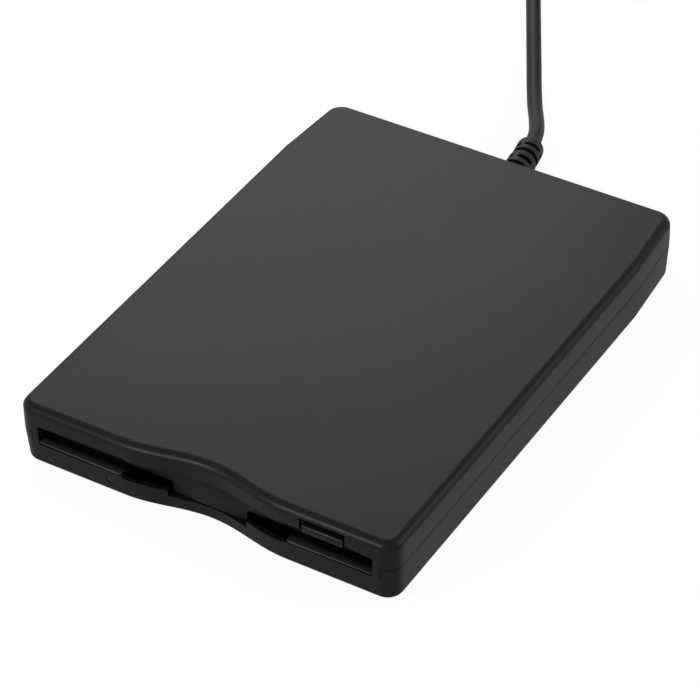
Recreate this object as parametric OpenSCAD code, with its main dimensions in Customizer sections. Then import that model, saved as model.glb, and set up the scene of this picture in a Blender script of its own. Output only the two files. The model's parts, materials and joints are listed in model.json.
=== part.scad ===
// External floppy disk drive with its case, slim mechanism and USB lead.
// +X runs right along the front, +Y to the back and +Z up.
// The origin is on the table, under the middle of the case.

/* [Disk] */
// Width of the disk that goes in
disk_w = 90; // [88:0.5:92]
// Length of the disk
disk_l = 94; // [92:0.5:98]
// Thickness of the disk
disk_t = 3.3; // [3.1:0.1:3.6]
// How far the cage lowers a disk onto the spindle
drop = 2; // [1.8:0.1:2.2]

/* [Case] */
// Thickness of the side, front and back walls
wall = 1.4; // [1.2:0.1:1.5]
// Thickness of the roof
roof_t = 1.6; // [1.4:0.1:2.4]
// Thickness of the floor
floor_t = 1.6; // [1.4:0.1:2.4]
// Space between the mechanism and each side wall
side_room = 1.7; // [1.3:0.1:6]
// Space behind the disk, for the head drive and the lead's board
rear_room = 39.6; // [39:0.2:60]
// Height of the side parting line above the underside
parting_h = 9.5; // [9:0.1:10.5]
// Radius of the front corners
front_corner = 4.1; // [3.6:0.1:6]
// Radius of the back corners
back_corner = 4.3; // [3.6:0.1:8]
// Radius of the rounding round the top
top_round = 2.2; // [1.4:0.1:2.4]
// Radius of the rounding round the underside
base_round = 1; // [0.6:0.1:1.2]
// Draft of each wall of the lower shell
draft = 0.5; // [0.2:0.1:0.6]
// Length of the stretch at the back that draws in
taper_l = 23; // [16:1:30]
// How far each side draws in at the back
taper_in = 2; // [0.5:0.1:2.4]

/* [Front] */
// Width of the finger recess in the front
recess_w = 45; // [36:1:60]
// Depth of the finger recess
recess_depth = 3.3; // [2:0.1:3.5]
// Width of the flap's middle tongue
tongue_w = 20.6; // [14:0.2:30]
// Height of the flap's tongue below the slot's floor
tongue_drop = 2.65; // [2:0.05:2.8]
// How far the case's slot is wider than the disk, at each end
slot_side = 1.2; // [0.8:0.1:1.2]
// Centre of the eject button, right of the middle
button_x = 32.8; // [28:0.1:36]
// Width of the eject button
button_w = 11; // [9:0.2:13]
// Gap round the eject button
button_gap = 0.6; // [0.3:0.1:0.8]
// How far the eject button travels
eject_travel = 4; // [3.6:0.1:4.4]
// Place of the activity light, left of the middle
light_x = 26.2; // [25:0.1:36]
// Radius of the activity light's lens
light_r = 1.1; // [0.8:0.1:1.2]

/* [Feet and screws] */
// Radius of a rubber foot
foot_r = 4.5; // [3:0.1:5]
// How far the feet stand out of the underside
foot_h = 1; // [0.8:0.1:2]
// Distance of the feet's centres from the case's sides
foot_side = 10; // [8:0.5:14]
// Distance of the feet's centres from the front and back
foot_end = 13; // [11:0.5:16]
// Radius of the screws' shanks
screw_r = 1.1; // [0.9:0.1:1.2]
// Radius of the screws' heads
screw_head_r = 2.1; // [1.9:0.1:2.3]

/* [Mechanism] */
// Thickness of the steel deck
deck_t = 1; // [0.8:0.1:1.2]
// Thickness of the sheet of the cage, slide and side plates
sheet = 0.7; // [0.6:0.05:0.8]
// Gap between sheets that slide past each other
sheet_gap = 0.3; // [0.3:0.05:0.5]
// Height inside the disk cage beyond the disk's thickness
cage_room = 0.9; // [0.8:0.1:1.2]
// Radius of the cage's guide pins
guide_pin_r = 0.8; // [0.6:0.05:0.9]
// Radius of the spindle motor's rotor
rotor_r = 20.5; // [18:0.5:20.5]
// Radius of the spindle shaft
spindle_r = 1.5; // [1.2:0.1:1.8]
// How far the head travels from the outer to the inner track
head_travel = 14.8; // [13:0.1:14.8]
// Radius of the carriage's guide rod
rod_r = 1.25; // [1:0.05:1.5]
// Radius of the lead screw
lead_r = 1.2; // [1:0.05:1.3]
// Radius of the stepper motor's can
stepper_r = 4.5; // [4:0.1:5]
// Length of the stepper motor's can
stepper_l = 10; // [8:0.5:11]

/* [Lead] */
// Diameter of the cord
cord_d = 4.2; // [3.6:0.1:4.4]
// Place of the cord's outlet, right of the middle of the back
outlet_x = 1; // [-6:0.5:6]
// Radius of the strain relief where it leaves the case
relief_r = 4; // [3.4:0.1:4.4]
// Width of the plug's moulded body
plug_w = 16; // [14:0.5:18]
// Thickness of the plug's moulded body
plug_t = 8; // [7:0.5:9]
// Length of the plug's moulded body
plug_l = 24; // [20:1:30]

/* [Hidden] */

// Gaps
fit_gap = 0.05;      // a pin in its bore
press_gap = 0.02;    // a fixed pin in its bore
skin = 0.01;         // how far a cut runs past the face it opens

// Heights, from the table up
floor_top = foot_h + floor_t;
deck_lift = 0.4;
deck_z = floor_top + deck_lift;
deck_top = deck_z + deck_t;
rotor_top = deck_top + 1.7;
loaded_z = rotor_top + 0.4;
disk_z = loaded_z + drop;
lip_top = disk_z - 0.2;
cage_roof = lip_top + disk_t + cage_room;
cage_top = cage_roof + sheet;
latch_gap = 0.35;
latch_z = cage_top + latch_gap;
slide_z = latch_z + sheet + latch_gap;
slide_top = slide_z + sheet;
arm_t = 1;
arm_room = 1.7;
roof_z = slide_top + arm_room;
case_top = roof_z + roof_t;
parting_z = foot_h + parting_h;

// The slot
slot_floor = disk_z - 0.1;
slot_top = cage_top;
ledge_t = 0.7;
ledge_gap = 0.1;
sill_z = slot_floor - ledge_t - ledge_gap;
sill_dip = 0.5;
slot_half = disk_w / 2 + slot_side;

// Half widths of the nested sheets
cage_in = disk_w / 2 + 0.6;
cage_out = cage_in + sheet;
slide_in = cage_out + sheet_gap;
slide_out = slide_in + sheet;
side_in = slide_out + 0.8;
side_out = side_in + sheet + 0.1;
case_half = side_out + side_room + wall;

// Distances along the depth
disk_front = 8;
disk_back = disk_front + disk_l;
case_d = disk_back + rear_room + wall;
front_y = -case_d / 2;
back_y = case_d / 2;
shoulder_half = case_half - 0.2;
back_half = case_half - taper_in;
shoulder_y = back_y - taper_l;

// Places in the mechanism, measured from the front face
cage_front = 16;
cage_back = disk_back + 1.5;
slide_front = cage_front - 2;
slide_back = cage_back - 3.5;
deck_front = 12;
deck_back = disk_back + 25;
side_back = disk_back + 10;
spindle_y = disk_front + disk_l / 2;
track_in = 24.7;
head_y = spindle_y + track_in + head_travel;
tower_front = cage_back + 0.7 + head_travel;
tower_back = tower_front + 5;
arm_axis_y = (tower_front + tower_back) / 2;
arm_axis_z = slide_z + 0.3;
arm_half = 6;
arm_bottom = slide_z - 0.2;
carriage_z = deck_top + 0.5;
case_screw_x = back_half - 18;
lead_x = case_screw_x - 10;
rod_x = lead_x - 8;
rod_z = carriage_z + 1.9;
lead_z = deck_top + stepper_r + 0.1;
bracket_y = disk_back + 23.5;
bracket_t = 1;
front_tab_y = disk_back + 0.4;
lead_tab = 3.5;      // half width of the lead screw's front tab

// Flap
flap_y = recess_depth + 0.2;
flap_t = 1.1;
hinge_r = 0.8;
hinge_y = recess_depth + wall + 0.3 + hinge_r;
hinge_z = slot_top + 1.4;
flap_bottom = hinge_z - sqrt(pow(hinge_z - slot_floor - 0.15, 2) - pow(hinge_y - flap_y, 2));
tongue_z = slot_floor - tongue_drop;
notch_z = tongue_z - 0.45;
notch_gap = 0.6;
flap_half = slot_half - 0.6;
cheek_in = slot_half + 0.2;
cheek_out = cheek_in + 1.8;
step_half = slot_half + 1.9;

// Screws
case_screw_y = case_d - 9;
chassis_screw_x = side_out - 2.7;
chassis_screw_y = [20, disk_back + 6];
peg_x = disk_w / 2 - 9;
peg_y = 8.2;

// Small parts
boss_r = 3;          // bosses, posts and pads round a screw
frame_peg_r = 1.2;   // pegs that place the front frame
stem_peg_r = 1.2;    // peg that joins the button to the slide
hub_r = 12;
hub_t = 0.7;
hub_pin_r = 1;
coil_count = 9;      // windings of the spindle motor
winding_r = 3.2;
arm_pin_r = 0.6;
arm_barrel_r = 1.1;
head_w = 5;
latch_pin_r = 1;
latch_post_r = 1.6;
board_t = 0.8;
board_lift = 0.6;    // the drive's board above the deck
board_top = deck_top + board_lift + board_t;

// Lead
cord_r = cord_d / 2;
outlet_z = parting_z - 1;
relief_l = 22.5;
relief_side = -4;
relief_fall = -2;
tie_t = 0.5;
coil_z = cord_r + tie_t + 0.1;
coil_start = [-58.5, 194.9];
coil_heading = [-5, 9];
coil_r = 27.5;
coil_pitch = cord_d + 0.6;
coil_layer = cord_d + 0.5;
plug_axis_z = plug_t / 2;
coil_dir = coil_heading / norm(coil_heading);
coil_mid = coil_start + coil_r * [coil_dir[1], -coil_dir[0]];
coil_from = atan2(coil_start[1] - coil_mid[1], coil_start[0] - coil_mid[0]) + 360;
coil_to = 90;
coil_loops = 3 + (coil_from - coil_to) / 360;
plug_start = [-12, coil_mid[1] + coil_r, plug_axis_z];

// The cord's free stretch, from the strain relief to the coil
cord_route = [
    [-3, 94, 7.5], [-4.6, 98.4, 6.6], [-8.8, 106.4, 4.3], [-13.4, 114, 2.6],
    [-18, 122, 2.1], [-23, 131, 2.1], [-28, 140, 2.1], [-33, 149, 2.1],
    [-38, 158, 2.1], [-43, 167, 2.1], [-48, 176, 2.1], [-53, 185, 2.4],
];
// The last stretch, from the coil to the plug
tail_route = [[-23, 0, 6.9], [-17.5, 0, 5]];

$fn = 48;

// ---------- shared shapes ----------

module from_front() {
    translate([0, front_y, 0]) children();
}

module box(low, high) {
    translate(low) cube(high - low);
}

module both_sides() {
    children();
    mirror([1, 0, 0]) children();
}

module bar_x(x0, x1, y, z, r) {
    translate([x0, y, z]) rotate([0, 90, 0]) cylinder(r = r, h = x1 - x0);
}

module bar_y(y0, y1, x, z, r) {
    translate([x, y0, z]) rotate([-90, 0, 0]) cylinder(r = r, h = y1 - y0);
}

function arc(c, r, from, to, steps) =
    [for (i = [0:steps]) let(a = from + (to - from) * i / steps) c + r * [cos(a), sin(a)]];

// ---------- case outline ----------

taper_angle = atan2(shoulder_half - back_half, taper_l);

function back_centre_x() =
    let(t = (taper_l - back_corner) / taper_l)
    shoulder_half + (back_half - shoulder_half) * t - back_corner / cos(taper_angle);

function recess_curve(steps) =
    [for (i = [0:steps])
        let(x = recess_w * (i / steps - 0.5))
        [x, front_y + recess_depth * (1 + cos(360 * x / recess_w)) / 2]];

function mirrored(points) =
    [for (i = [len(points) - 1:-1:0]) [-points[i][0], points[i][1]]];

function right_half() = concat(
    arc([case_half - front_corner, front_y + front_corner], front_corner, 270, 360, 8),
    [[shoulder_half, shoulder_y]],
    arc([back_centre_x(), back_y - back_corner], back_corner, taper_angle, 90, 8)
);

outline = concat(recess_curve(22), right_half(), mirrored(right_half()));

function unit(v) = v / norm(v);

// Inward offset of each corner of the outline, mitred
function inset_point(points, i, d) =
    let(
        n = len(points),
        u = unit(points[i] - points[(i + n - 1) % n]),
        v = unit(points[(i + 1) % n] - points[i]),
        a = [-u[1], u[0]],
        b = [-v[1], v[0]]
    )
    points[i] + d * (a + b) / (1 + a * b);

function ring(points, level) =
    [for (i = [0:len(points) - 1])
        let(p = inset_point(points, i, level[0])) [p[0], p[1], level[1]]];

// A solid through rings of the outline; each level is [inset, height], lowest first
module stack(points, levels) {
    n = len(points);
    m = len(levels);
    rings = [for (level = levels) each ring(points, level)];
    middles = [[0, 0, levels[0][1]], [0, 0, levels[m - 1][1]]];
    sides = [
        for (k = [0:m - 2], i = [0:n - 1])
            let(j = (i + 1) % n, a = k * n, b = (k + 1) * n)
            each [[a + i, b + i, b + j], [a + i, b + j, a + j]]
    ];
    bottom = [for (i = [0:n - 1]) [m * n, i, (i + 1) % n]];
    top = [for (i = [0:n - 1]) let(a = (m - 1) * n) [m * n + 1, a + (i + 1) % n, a + i]];
    polyhedron(concat(rings, middles), concat(bottom, sides, top), convexity = 8);
}

round_steps = 4;
function top_levels() = [
    for (i = [0:round_steps])
        let(a = 90 * i / round_steps)
        [top_round * (1 - cos(a)), case_top - top_round * (1 - sin(a))]
];
function base_levels() = [
    for (i = [round_steps:-1:0])
        let(a = 90 * i / round_steps)
        [draft + base_round * (1 - cos(a)), foot_h + base_round * (1 - sin(a))]
];

// ---------- case ----------

// The button's bottom and top, the room above it and its lip's height and depth
button_rise = 1;
button_low = slot_top - 0.5;
button_high = min(case_top - top_round - 0.5, roof_z - button_rise - 0.1);
lip_h = 2.2;
lip_back = 2;

module top_cover() {
    color([0.16, 0.16, 0.165]) {
        difference() {
            stack(outline, concat([[0, parting_z]], top_levels()));
            stack(outline, [[wall, parting_z - 1], [wall, roof_z]]);
            from_front() {
                // the disk slot, up to its top edge
                box([-slot_half, -1, parting_z - 1], [slot_half, recess_depth + wall + 0.4, slot_top]);
                // the eject button's opening, which runs into the slot
                box([button_x - button_w / 2 - button_gap, -1, slot_top - 1],
                    [button_x + button_w / 2 + button_gap, wall + 1, button_high + button_rise]);
            }
            // half of the lead's outlet
            bar_y(back_y - wall - 1, back_y + 1, outlet_x, outlet_z, relief_r - 0.6);
        }
        // slot ends, which reach down to the lower shell's front edge
        from_front() both_sides()
            box([slot_half, 0.05, sill_z + 0.1], [step_half, wall, slot_top + 0.4]);
        // ribs that line the shells up along the sides
        from_front() both_sides() for (y = [30, 70, 100])
            box([case_half - wall - 1.4, y - 4, parting_z - 2],
                [case_half - wall - 0.7, y + 4, roof_z + 0.2]);
        // screw bosses
        from_front() both_sides() difference() {
            translate([case_screw_x, case_screw_y, parting_z - 1])
                cylinder(r = boss_r, h = roof_z + 0.2 - parting_z + 1);
            translate([case_screw_x, case_screw_y, parting_z - 2])
                cylinder(r = screw_r + fit_gap, h = roof_z - parting_z + 1.2);
        }
    }
}

module bottom_cover() {
    inner = draft + 0.4;
    color([0.145, 0.145, 0.14]) {
        difference() {
            stack(outline, concat(base_levels(), [[0.05, parting_z]]));
            stack(outline, [[wall + inner, floor_top], [wall, parting_z + 1]]);
            from_front() {
                // the front wall stops at the sill, which dips a little at the finger recess
                box([-step_half - 0.15, -1, sill_z], [step_half + 0.15, recess_depth + wall + 2, parting_z + 1]);
                box([-recess_w / 2, -1, sill_z - sill_dip],
                    [recess_w / 2, recess_depth + wall + 2, parting_z + 1]);
                // the notch that the flap's tongue hangs in
                box([-tongue_w / 2 - notch_gap, -1, notch_z],
                    [tongue_w / 2 + notch_gap, recess_depth + wall + 2, parting_z + 1]);
                // window of the activity light
                bar_y(-1, wall + 2, -light_x, light_z, light_r + fit_gap);
                // seats of the feet
                for (x = [-1, 1], y = [foot_end, case_d - foot_end])
                    translate([x * (case_half - foot_side), y, foot_h - 1])
                        cylinder(r = foot_r + 0.2, h = 1 + foot_seat);
                // screws that hold the mechanism, from below
                both_sides() for (y = chassis_screw_y) translate([chassis_screw_x, y, 0]) {
                    cylinder(r = screw_head_r + 0.2, h = foot_h + screw_seat);
                    cylinder(r = screw_r + 0.15, h = deck_z);
                }
                both_sides() translate([case_screw_x, case_screw_y, 0]) {
                    cylinder(r = screw_head_r + 0.2, h = foot_h + screw_seat);
                    cylinder(r = screw_r + 0.15, h = parting_z);
                }
            }
            bar_y(back_y - wall - 2, back_y + 1, outlet_x, outlet_z, relief_r - 0.6);
            box([outlet_x - relief_r + 0.6, back_y - wall - 2, outlet_z],
                [outlet_x + relief_r - 0.6, back_y + 1, parting_z + 1]);
        }
        from_front() {
            // pads under the deck
            both_sides() for (y = chassis_screw_y) translate([chassis_screw_x, y, floor_top - 0.2])
                tube(boss_r, screw_r + 0.15, deck_lift + 0.2);
            // posts of the case screws
            both_sides() translate([case_screw_x, case_screw_y, floor_top - 0.2])
                tube(boss_r, screw_r + 0.15, parting_z - 1 - floor_top + 0.2);
            // pegs of the front frame
            both_sides() translate([peg_x, peg_y, floor_top - 0.2]) cylinder(r = frame_peg_r, h = 2.4);
            // pegs under the lead's board
            for (x = board_pegs_x) translate([x, usb_y + usb_w / 2, floor_top - 0.2])
                cylinder(r = 1.6, h = usb_z - floor_top + 0.2);
        }
    }
}

module tube(outer, inner, h) {
    difference() {
        cylinder(r = outer, h = h);
        translate([0, 0, -1]) cylinder(r = inner, h = h + 2);
    }
}

foot_seat = 0.4;
screw_seat = 1;
screw_head_t = 0.8;
light_z = deck_top + 0.8;

module rubber_feet() {
    color([0.08, 0.08, 0.08]) from_front()
        for (x = [-1, 1], y = [foot_end, case_d - foot_end])
            translate([x * (case_half - foot_side), y, 0]) rotate_extrude()
                polygon([[0, 0], [foot_r - 0.4, 0], [foot_r, 0.4], [foot_r, foot_h + foot_seat],
                         [0, foot_h + foot_seat]]);
}

// A countersunk-free pan head screw, standing on its head
module screw(length) {
    cylinder(r = screw_head_r, h = screw_head_t);
    translate([0, 0, screw_head_t - skin]) cylinder(r = screw_r, h = length);
}

module case_screws() {
    color([0.55, 0.55, 0.57]) from_front() both_sides()
        translate([case_screw_x, case_screw_y, foot_h + screw_seat - screw_head_t])
            difference() {
                screw(parting_z + 3 - foot_h);
                cross_slot();
            }
}

module chassis_screws() {
    color([0.55, 0.55, 0.57]) from_front() both_sides() for (y = chassis_screw_y)
        translate([chassis_screw_x, y, foot_h + screw_seat - screw_head_t])
            difference() {
                screw(deck_top - foot_h - screw_seat);
                cross_slot();
            }
}

module cross_slot() {
    for (a = [0, 90]) rotate([0, 0, a]) box([-1.2, -0.2, -1], [1.2, 0.2, 0.45]);
}

// ---------- front ----------

// Space behind the flap, length of the floor bar and thickness of the riser
leg_gap = 0.9;
frame_bar_l = 4.9;
riser_t = 1;
riser_lap = 0.5;
// Room between the finger recess and a ledge, and between the bar and the tongue
ledge_end_gap = 0.4;
tongue_room = 0.4;
bridge_lap = 1;
// Room before each cheek, and its reach behind and above the hinge
cheek_gap = 0.3;
cheek_back = 2.4;
cheek_rise = 1.6;

module front_frame() {
    leg_y = flap_y + flap_t + leg_gap;
    ledge_end = recess_w / 2 + ledge_end_gap;
    ledge_low = slot_floor - ledge_t;
    bar_front = leg_y + riser_lap;
    cheek_y = wall + cheek_gap;
    color([0.11, 0.11, 0.115]) from_front() difference() {
        union() {
            // bar along the floor, low enough for the flap's tongue to swing over
            box([-cheek_out, bar_front, floor_top],
                [cheek_out, bar_front + frame_bar_l, tongue_low - tongue_room]);
            both_sides() {
                // riser and ledge on each side of the finger recess
                box([ledge_end, leg_y, floor_top], [cheek_out, leg_y + riser_t, slot_floor]);
                box([ledge_end, ledge_gap, ledge_low], [slot_half - ledge_gap, bar_front, slot_floor]);
                box([slot_half - bridge_lap, cheek_y, ledge_low], [cheek_in + skin, bar_front, slot_floor]);
                // cheek that holds an end of the flap's hinge
                box([cheek_in, cheek_y, ledge_low],
                    [cheek_out, hinge_y + cheek_back, hinge_z + cheek_rise]);
                box([cheek_in, leg_y, floor_top], [cheek_out, hinge_y + cheek_back, slot_floor]);
            }
        }
        bar_x(-cheek_out - 1, cheek_out + 1, hinge_y, hinge_z, hinge_r + fit_gap);
        both_sides() translate([peg_x, peg_y, 0]) cylinder(r = frame_peg_r + fit_gap, h = floor_top + 4);
    }
}

// How low the tongue's front corner swings
tongue_low = hinge_z - norm([hinge_y - flap_y, hinge_z - tongue_z]);

module slot_flap() {
    plate_top = slot_top - 0.3;
    link = 1.1;
    gap_l = button_x - button_w / 2 - 1.6;
    gap_r = button_x + button_w / 2 + 1.6;
    color([0.1, 0.1, 0.105]) from_front() {
        box([-flap_half, flap_y, flap_bottom], [flap_half, flap_y + flap_t, plate_top]);
        box([-tongue_w / 2, flap_y, tongue_z], [tongue_w / 2, flap_y + flap_t, plate_top]);
        // links over the hinge rod, clear of the button's stem and the spring
        for (span = [[-flap_half + 3.4, -flap_half + 20], [-tongue_w / 2, tongue_w / 2],
                     [gap_r, flap_half]]) {
            box([span[0], flap_y + flap_t - skin, plate_top - link],
                [span[1], hinge_y + hinge_r, plate_top]);
            box([span[0], hinge_y - hinge_r, plate_top - skin],
                [span[1], hinge_y + hinge_r, hinge_z]);
            bar_x(span[0], span[1], hinge_y, hinge_z, hinge_r + 0.15);
        }
        // the hinge rod, in two lengths because the button's stem passes between them
        bar_x(-cheek_out, gap_l, hinge_y, hinge_z, hinge_r);
        bar_x(gap_r, cheek_out, hinge_y, hinge_z, hinge_r);
    }
}

module flap_spring() {
    color([0.7, 0.7, 0.72]) from_front()
        translate([-cheek_in, hinge_y, hinge_z]) rotate([0, 90, 0]) difference() {
            cylinder(r = hinge_r + 0.55, h = 3.2);
            translate([0, 0, -1]) cylinder(r = hinge_r + 0.15, h = 6);
        }
}

stem_z = slot_top + 0.5;

module eject_button() {
    w = button_w / 2;
    color([0.12, 0.12, 0.125]) from_front() translate([button_x, 0, 0]) {
        // scooped head: a front lip for the fingertip, then a shelf and a step up
        translate([-w, 0, 0]) rotate([90, 0, 90]) linear_extrude(button_w)
            polygon([[0, button_low + 0.5], [0.5, button_low], [flap_y - 0.4, button_low],
                     [flap_y - 0.4, button_high], [lip_back + 0.2, button_high],
                     [lip_back, button_low + lip_h - 0.15], [0.3, button_low + lip_h],
                     [0, button_low + lip_h - 0.25]]);
        // stem that passes over the flap and under the slide
        box([-w + 1.2, flap_y - 0.5, stem_z], [w - 1.2, slide_front - 1.5, slide_z]);
        translate([0, slide_front - 4.5, slide_z - skin]) cylinder(r = stem_peg_r, h = sheet + 0.3);
    }
}

module light_lens() {
    color([0.75, 0.8, 0.72, 0.7]) from_front() {
        bar_y(0.7, wall + 1, -light_x, light_z, light_r);
        bar_y(wall + 1, wall + 1.6, -light_x, light_z, light_r + 0.5);
    }
}

module light_led() {
    color([0.85, 0.9, 0.8]) from_front()
        bar_y(wall + 1.65, flap_y + flap_t + 0.9, -light_x, light_z, 1.3);
}

// ---------- deck and sides ----------

cage_pin_y = [cage_front + 14, cage_back - 15.5];
cage_pin_z = lip_top + 2.1;
collar_r = 1.9;
bearing_r = 3.5;
lead_tip_r = 0.6;
deck_hole_r = 6;
cage_lip = 3;
deck_hole_x = rotor_r + deck_hole_r + 4.5;

// Upright slots that guide the cage's pins
module pin_slots() {
    for (y = cage_pin_y)
        box([side_in - 1, y - guide_pin_r - 0.25, cage_pin_z - drop - guide_pin_r - 0.4],
            [side_out + 1, y + guide_pin_r + 0.25, cage_pin_z + guide_pin_r + 0.4]);
}

module side_plates() {
    color([0.62, 0.63, 0.65]) from_front() both_sides() {
        difference() {
            box([side_in, deck_front, deck_top], [side_out, side_back, slide_z - fit_gap]);
            pin_slots();
        }
        // arm over the slide that a spring hooks on
        box([side_in, deck_front, slide_z - 1], [side_out, deck_front + 1.2, slide_top + 1]);
        box([spring_x - 0.8, deck_front, slide_top + 0.3],
            [side_out, deck_front + 1.2, slide_top + 1]);
    }
}

module chassis() {
    color([0.62, 0.63, 0.65]) from_front() difference() {
        union() {
            box([-side_out, deck_front, deck_z], [side_out, side_back, deck_top]);
            box([-side_out + 6, side_back - skin, deck_z], [side_out - 6, deck_back, deck_top]);
            // collars that the screws cut into
            both_sides() for (y = chassis_screw_y)
                translate([chassis_screw_x, y, deck_top - skin]) cylinder(r = collar_r, h = 0.6);
            // tabs for the guide rod and the lead screw
            for (y = [front_tab_y, bracket_y])
                box([-rod_x - 3, y, deck_top - skin], [-rod_x + 3, y + bracket_t, rod_z + 2.2]);
            box([lead_x - lead_tab, front_tab_y, deck_top - skin],
                [lead_x + lead_tab, front_tab_y + bracket_t, lead_z + 1.8]);
            box([lead_x - stepper_r - 1.5, bracket_y, deck_top - skin],
                [lead_x + stepper_r + 1.5, bracket_y + bracket_t, lead_z + stepper_r]);
        }
        // hole of the spindle bearing
        translate([0, spindle_y, 0]) cylinder(r = bearing_r + press_gap, h = deck_top + 2);
        // screw holes
        both_sides() for (y = chassis_screw_y)
            translate([chassis_screw_x, y, 0]) cylinder(r = screw_r + fit_gap, h = deck_top + 2);
        // bores for the guide rod, the screw's tip and the motor's boss
        bar_y(disk_back, deck_back + 1, -rod_x, rod_z, rod_r + press_gap);
        bar_y(disk_back, disk_back + 3, lead_x, lead_z, lead_tip_r + fit_gap);
        bar_y(bracket_y - 1, deck_back + 1, lead_x, lead_z, lead_r + 0.4);
        // holes that lighten the deck
        both_sides() for (y = [spindle_y - 25, spindle_y - 7, spindle_y + 11])
            translate([deck_hole_x, y, 0]) cylinder(r = deck_hole_r, h = deck_top + 1);
    }
}

module disk_cage() {
    color([0.72, 0.73, 0.75]) from_front() difference() {
        box([-cage_out, cage_front, cage_roof], [cage_out, cage_back, cage_top]);
        // room for the head arm, open at the back
        box([-arm_half - 3, head_y - head_travel - 7, cage_roof - 1],
            [arm_half + 3, cage_back + 1, cage_top + 1]);
        // room for the latch's nose
        box([-latch_x + 8.5, cage_back - 9, cage_roof - 1], [-arm_half - 6.5, cage_back + 1, cage_top + 1]);
        // room for the lead screw's front tab
        box([lead_x - lead_tab - 0.5, front_tab_y - 0.5, cage_roof - 1],
            [lead_x + lead_tab + 0.5, cage_back + 1, cage_top + 1]);
        // window over the spindle
        translate([0, spindle_y - 8, cage_roof - 1]) cylinder(r = 9, h = 3);
    }
}

// The cage's sides, with the lips that a disk rests on and the pins that guide it
module cage_rails() {
    color([0.72, 0.73, 0.75]) from_front() both_sides() {
        box([cage_in, cage_front, lip_top - sheet], [cage_out, cage_back, cage_roof]);
        box([disk_w / 2 - cage_lip, cage_front, lip_top - sheet], [cage_in + skin, cage_back, lip_top]);
        for (y = cage_pin_y) bar_x(cage_out - skin, side_out, y, cage_pin_z, guide_pin_r);
    }
}

module slide_plate() {
    pin_gap = guide_pin_r + 0.15;
    color([0.66, 0.66, 0.62]) from_front() {
        difference() {
            box([-slide_out, slide_front, slide_z], [slide_out, slide_back, slide_top]);
            box([-arm_half - 3.5, head_y - head_travel - 8, slide_z - 1],
                [arm_half + 3.5, slide_back + 1, slide_top + 1]);
            translate([0, spindle_y - 10, slide_z - 1]) cylinder(r = 14, h = 3);
            // slots for the springs
            both_sides() box([spring_x - 1.4, slide_front - 1, slide_z - 1],
                             [spring_x + 1.4, spring_back, slide_top + 1]);
        }
        // ears that ride on the side plates
        both_sides() for (y = cage_pin_y)
            box([slide_out - skin, y + 3, slide_z], [side_out, y + 9, slide_top]);
        // tab that carries the eject button
        difference() {
            box([button_x - 3, slide_front - 7, slide_z], [button_x + 3, slide_front + skin, slide_top]);
            translate([button_x, slide_front - 4.5, 0])
                cylinder(r = stem_peg_r + press_gap, h = slide_top + 1);
        }
        // sides with the slanting slots that lift and lower the cage
        both_sides() difference() {
            box([slide_in, cage_pin_y[0] - 6, loaded_z], [slide_out, slide_back, slide_z + skin]);
            for (y = cage_pin_y) {
                bar_x(slide_in - 1, slide_out + 1, y, cage_pin_z, pin_gap);
                bar_x(slide_in - 1, slide_out + 1, y + eject_travel, cage_pin_z - drop, pin_gap);
                translate([slide_in - 1, y, cage_pin_z])
                    rotate([-atan2(drop, eject_travel), 0, 0])
                        translate([0, 0, -pin_gap])
                            cube([sheet + 2, norm([drop, eject_travel]), 2 * pin_gap]);
            }
        }
        // forks that the springs' ends hook behind
        both_sides() for (x = [spring_x - 1.2, spring_x + 0.35])
            box([x, spring_back + 0.6, slide_top - skin], [x + 0.85, spring_back + 1.6, slide_top + 1]);
    }
}

spring_x = disk_w / 2 - 4;
spring_back = cage_front + 14;

module slide_springs() {
    z = slide_top + 0.5;
    start = deck_front + 1.2;
    stop = spring_back - eject_travel - 0.5;
    color([0.75, 0.75, 0.77]) from_front() both_sides() {
        bar_y(start, start + 1 + skin, spring_x, z, 0.2);
        bar_y(start + 1, stop, spring_x, z, 0.75);
        bar_y(stop - skin, spring_back + 1.4, spring_x, z, 0.2);
    }
}

// ---------- latch ----------

latch_x = disk_w / 2 - 15;
latch_y = cage_back + 3.5;
latch_swing = 24;
nose = [12, -9.5];

module latch_lever() {
    color([0.7, 0.71, 0.72]) from_front() translate([-latch_x, latch_y, 0]) {
        difference() {
            union() {
                translate([0, 0, latch_z]) cylinder(r = 2.6, h = sheet);
                translate([0, 0, latch_z]) rotate([0, 0, atan2(nose[1], nose[0])])
                    translate([0, -1.5, 0]) cube([norm(nose), 3, sheet]);
                translate([0, 0, latch_z]) rotate([0, 0, 150]) translate([0, -1.5, 0])
                    cube([8, 3, sheet]);
            }
            translate([0, 0, latch_z - 1]) cylinder(r = latch_pin_r + fit_gap, h = 3);
        }
        // the nose that the disk pushes back
        translate([nose[0], nose[1], disk_z + 1.4])
            cylinder(r = 1, h = latch_z + sheet - disk_z - 1.4);
    }
}

module latch_post() {
    color([0.6, 0.6, 0.62]) from_front() translate([-latch_x, latch_y, deck_top]) {
        cylinder(r = latch_post_r, h = latch_z - 0.1 - deck_top);
        cylinder(r = latch_pin_r, h = latch_z + sheet + 0.4 - deck_top);
    }
}

module latch_spring() {
    color([0.75, 0.75, 0.77]) from_front() translate([-latch_x, latch_y, latch_z - 2.6])
        tube(latch_post_r + 0.7, latch_post_r + fit_gap, 2);
}

// ---------- spindle ----------

module at_spindle() {
    from_front() translate([0, spindle_y, 0]) children();
}

module spindle_bearing() {
    color([0.78, 0.66, 0.4]) at_spindle() difference() {
        union() {
            translate([0, 0, deck_z]) cylinder(r = bearing_r, h = deck_t);
            translate([0, 0, deck_top]) cylinder(r = bearing_r + 1.5, h = 0.5);
        }
        cylinder(r = spindle_r + 0.03, h = deck_top + 2);
    }
}

module motor_coils() {
    color([0.72, 0.42, 0.2]) at_spindle() for (i = [0:coil_count - 1])
        rotate([0, 0, i * 360 / coil_count]) translate([rotor_r - 8.5, 0, deck_top])
            tube(winding_r, 1, 0.55);
}

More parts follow.
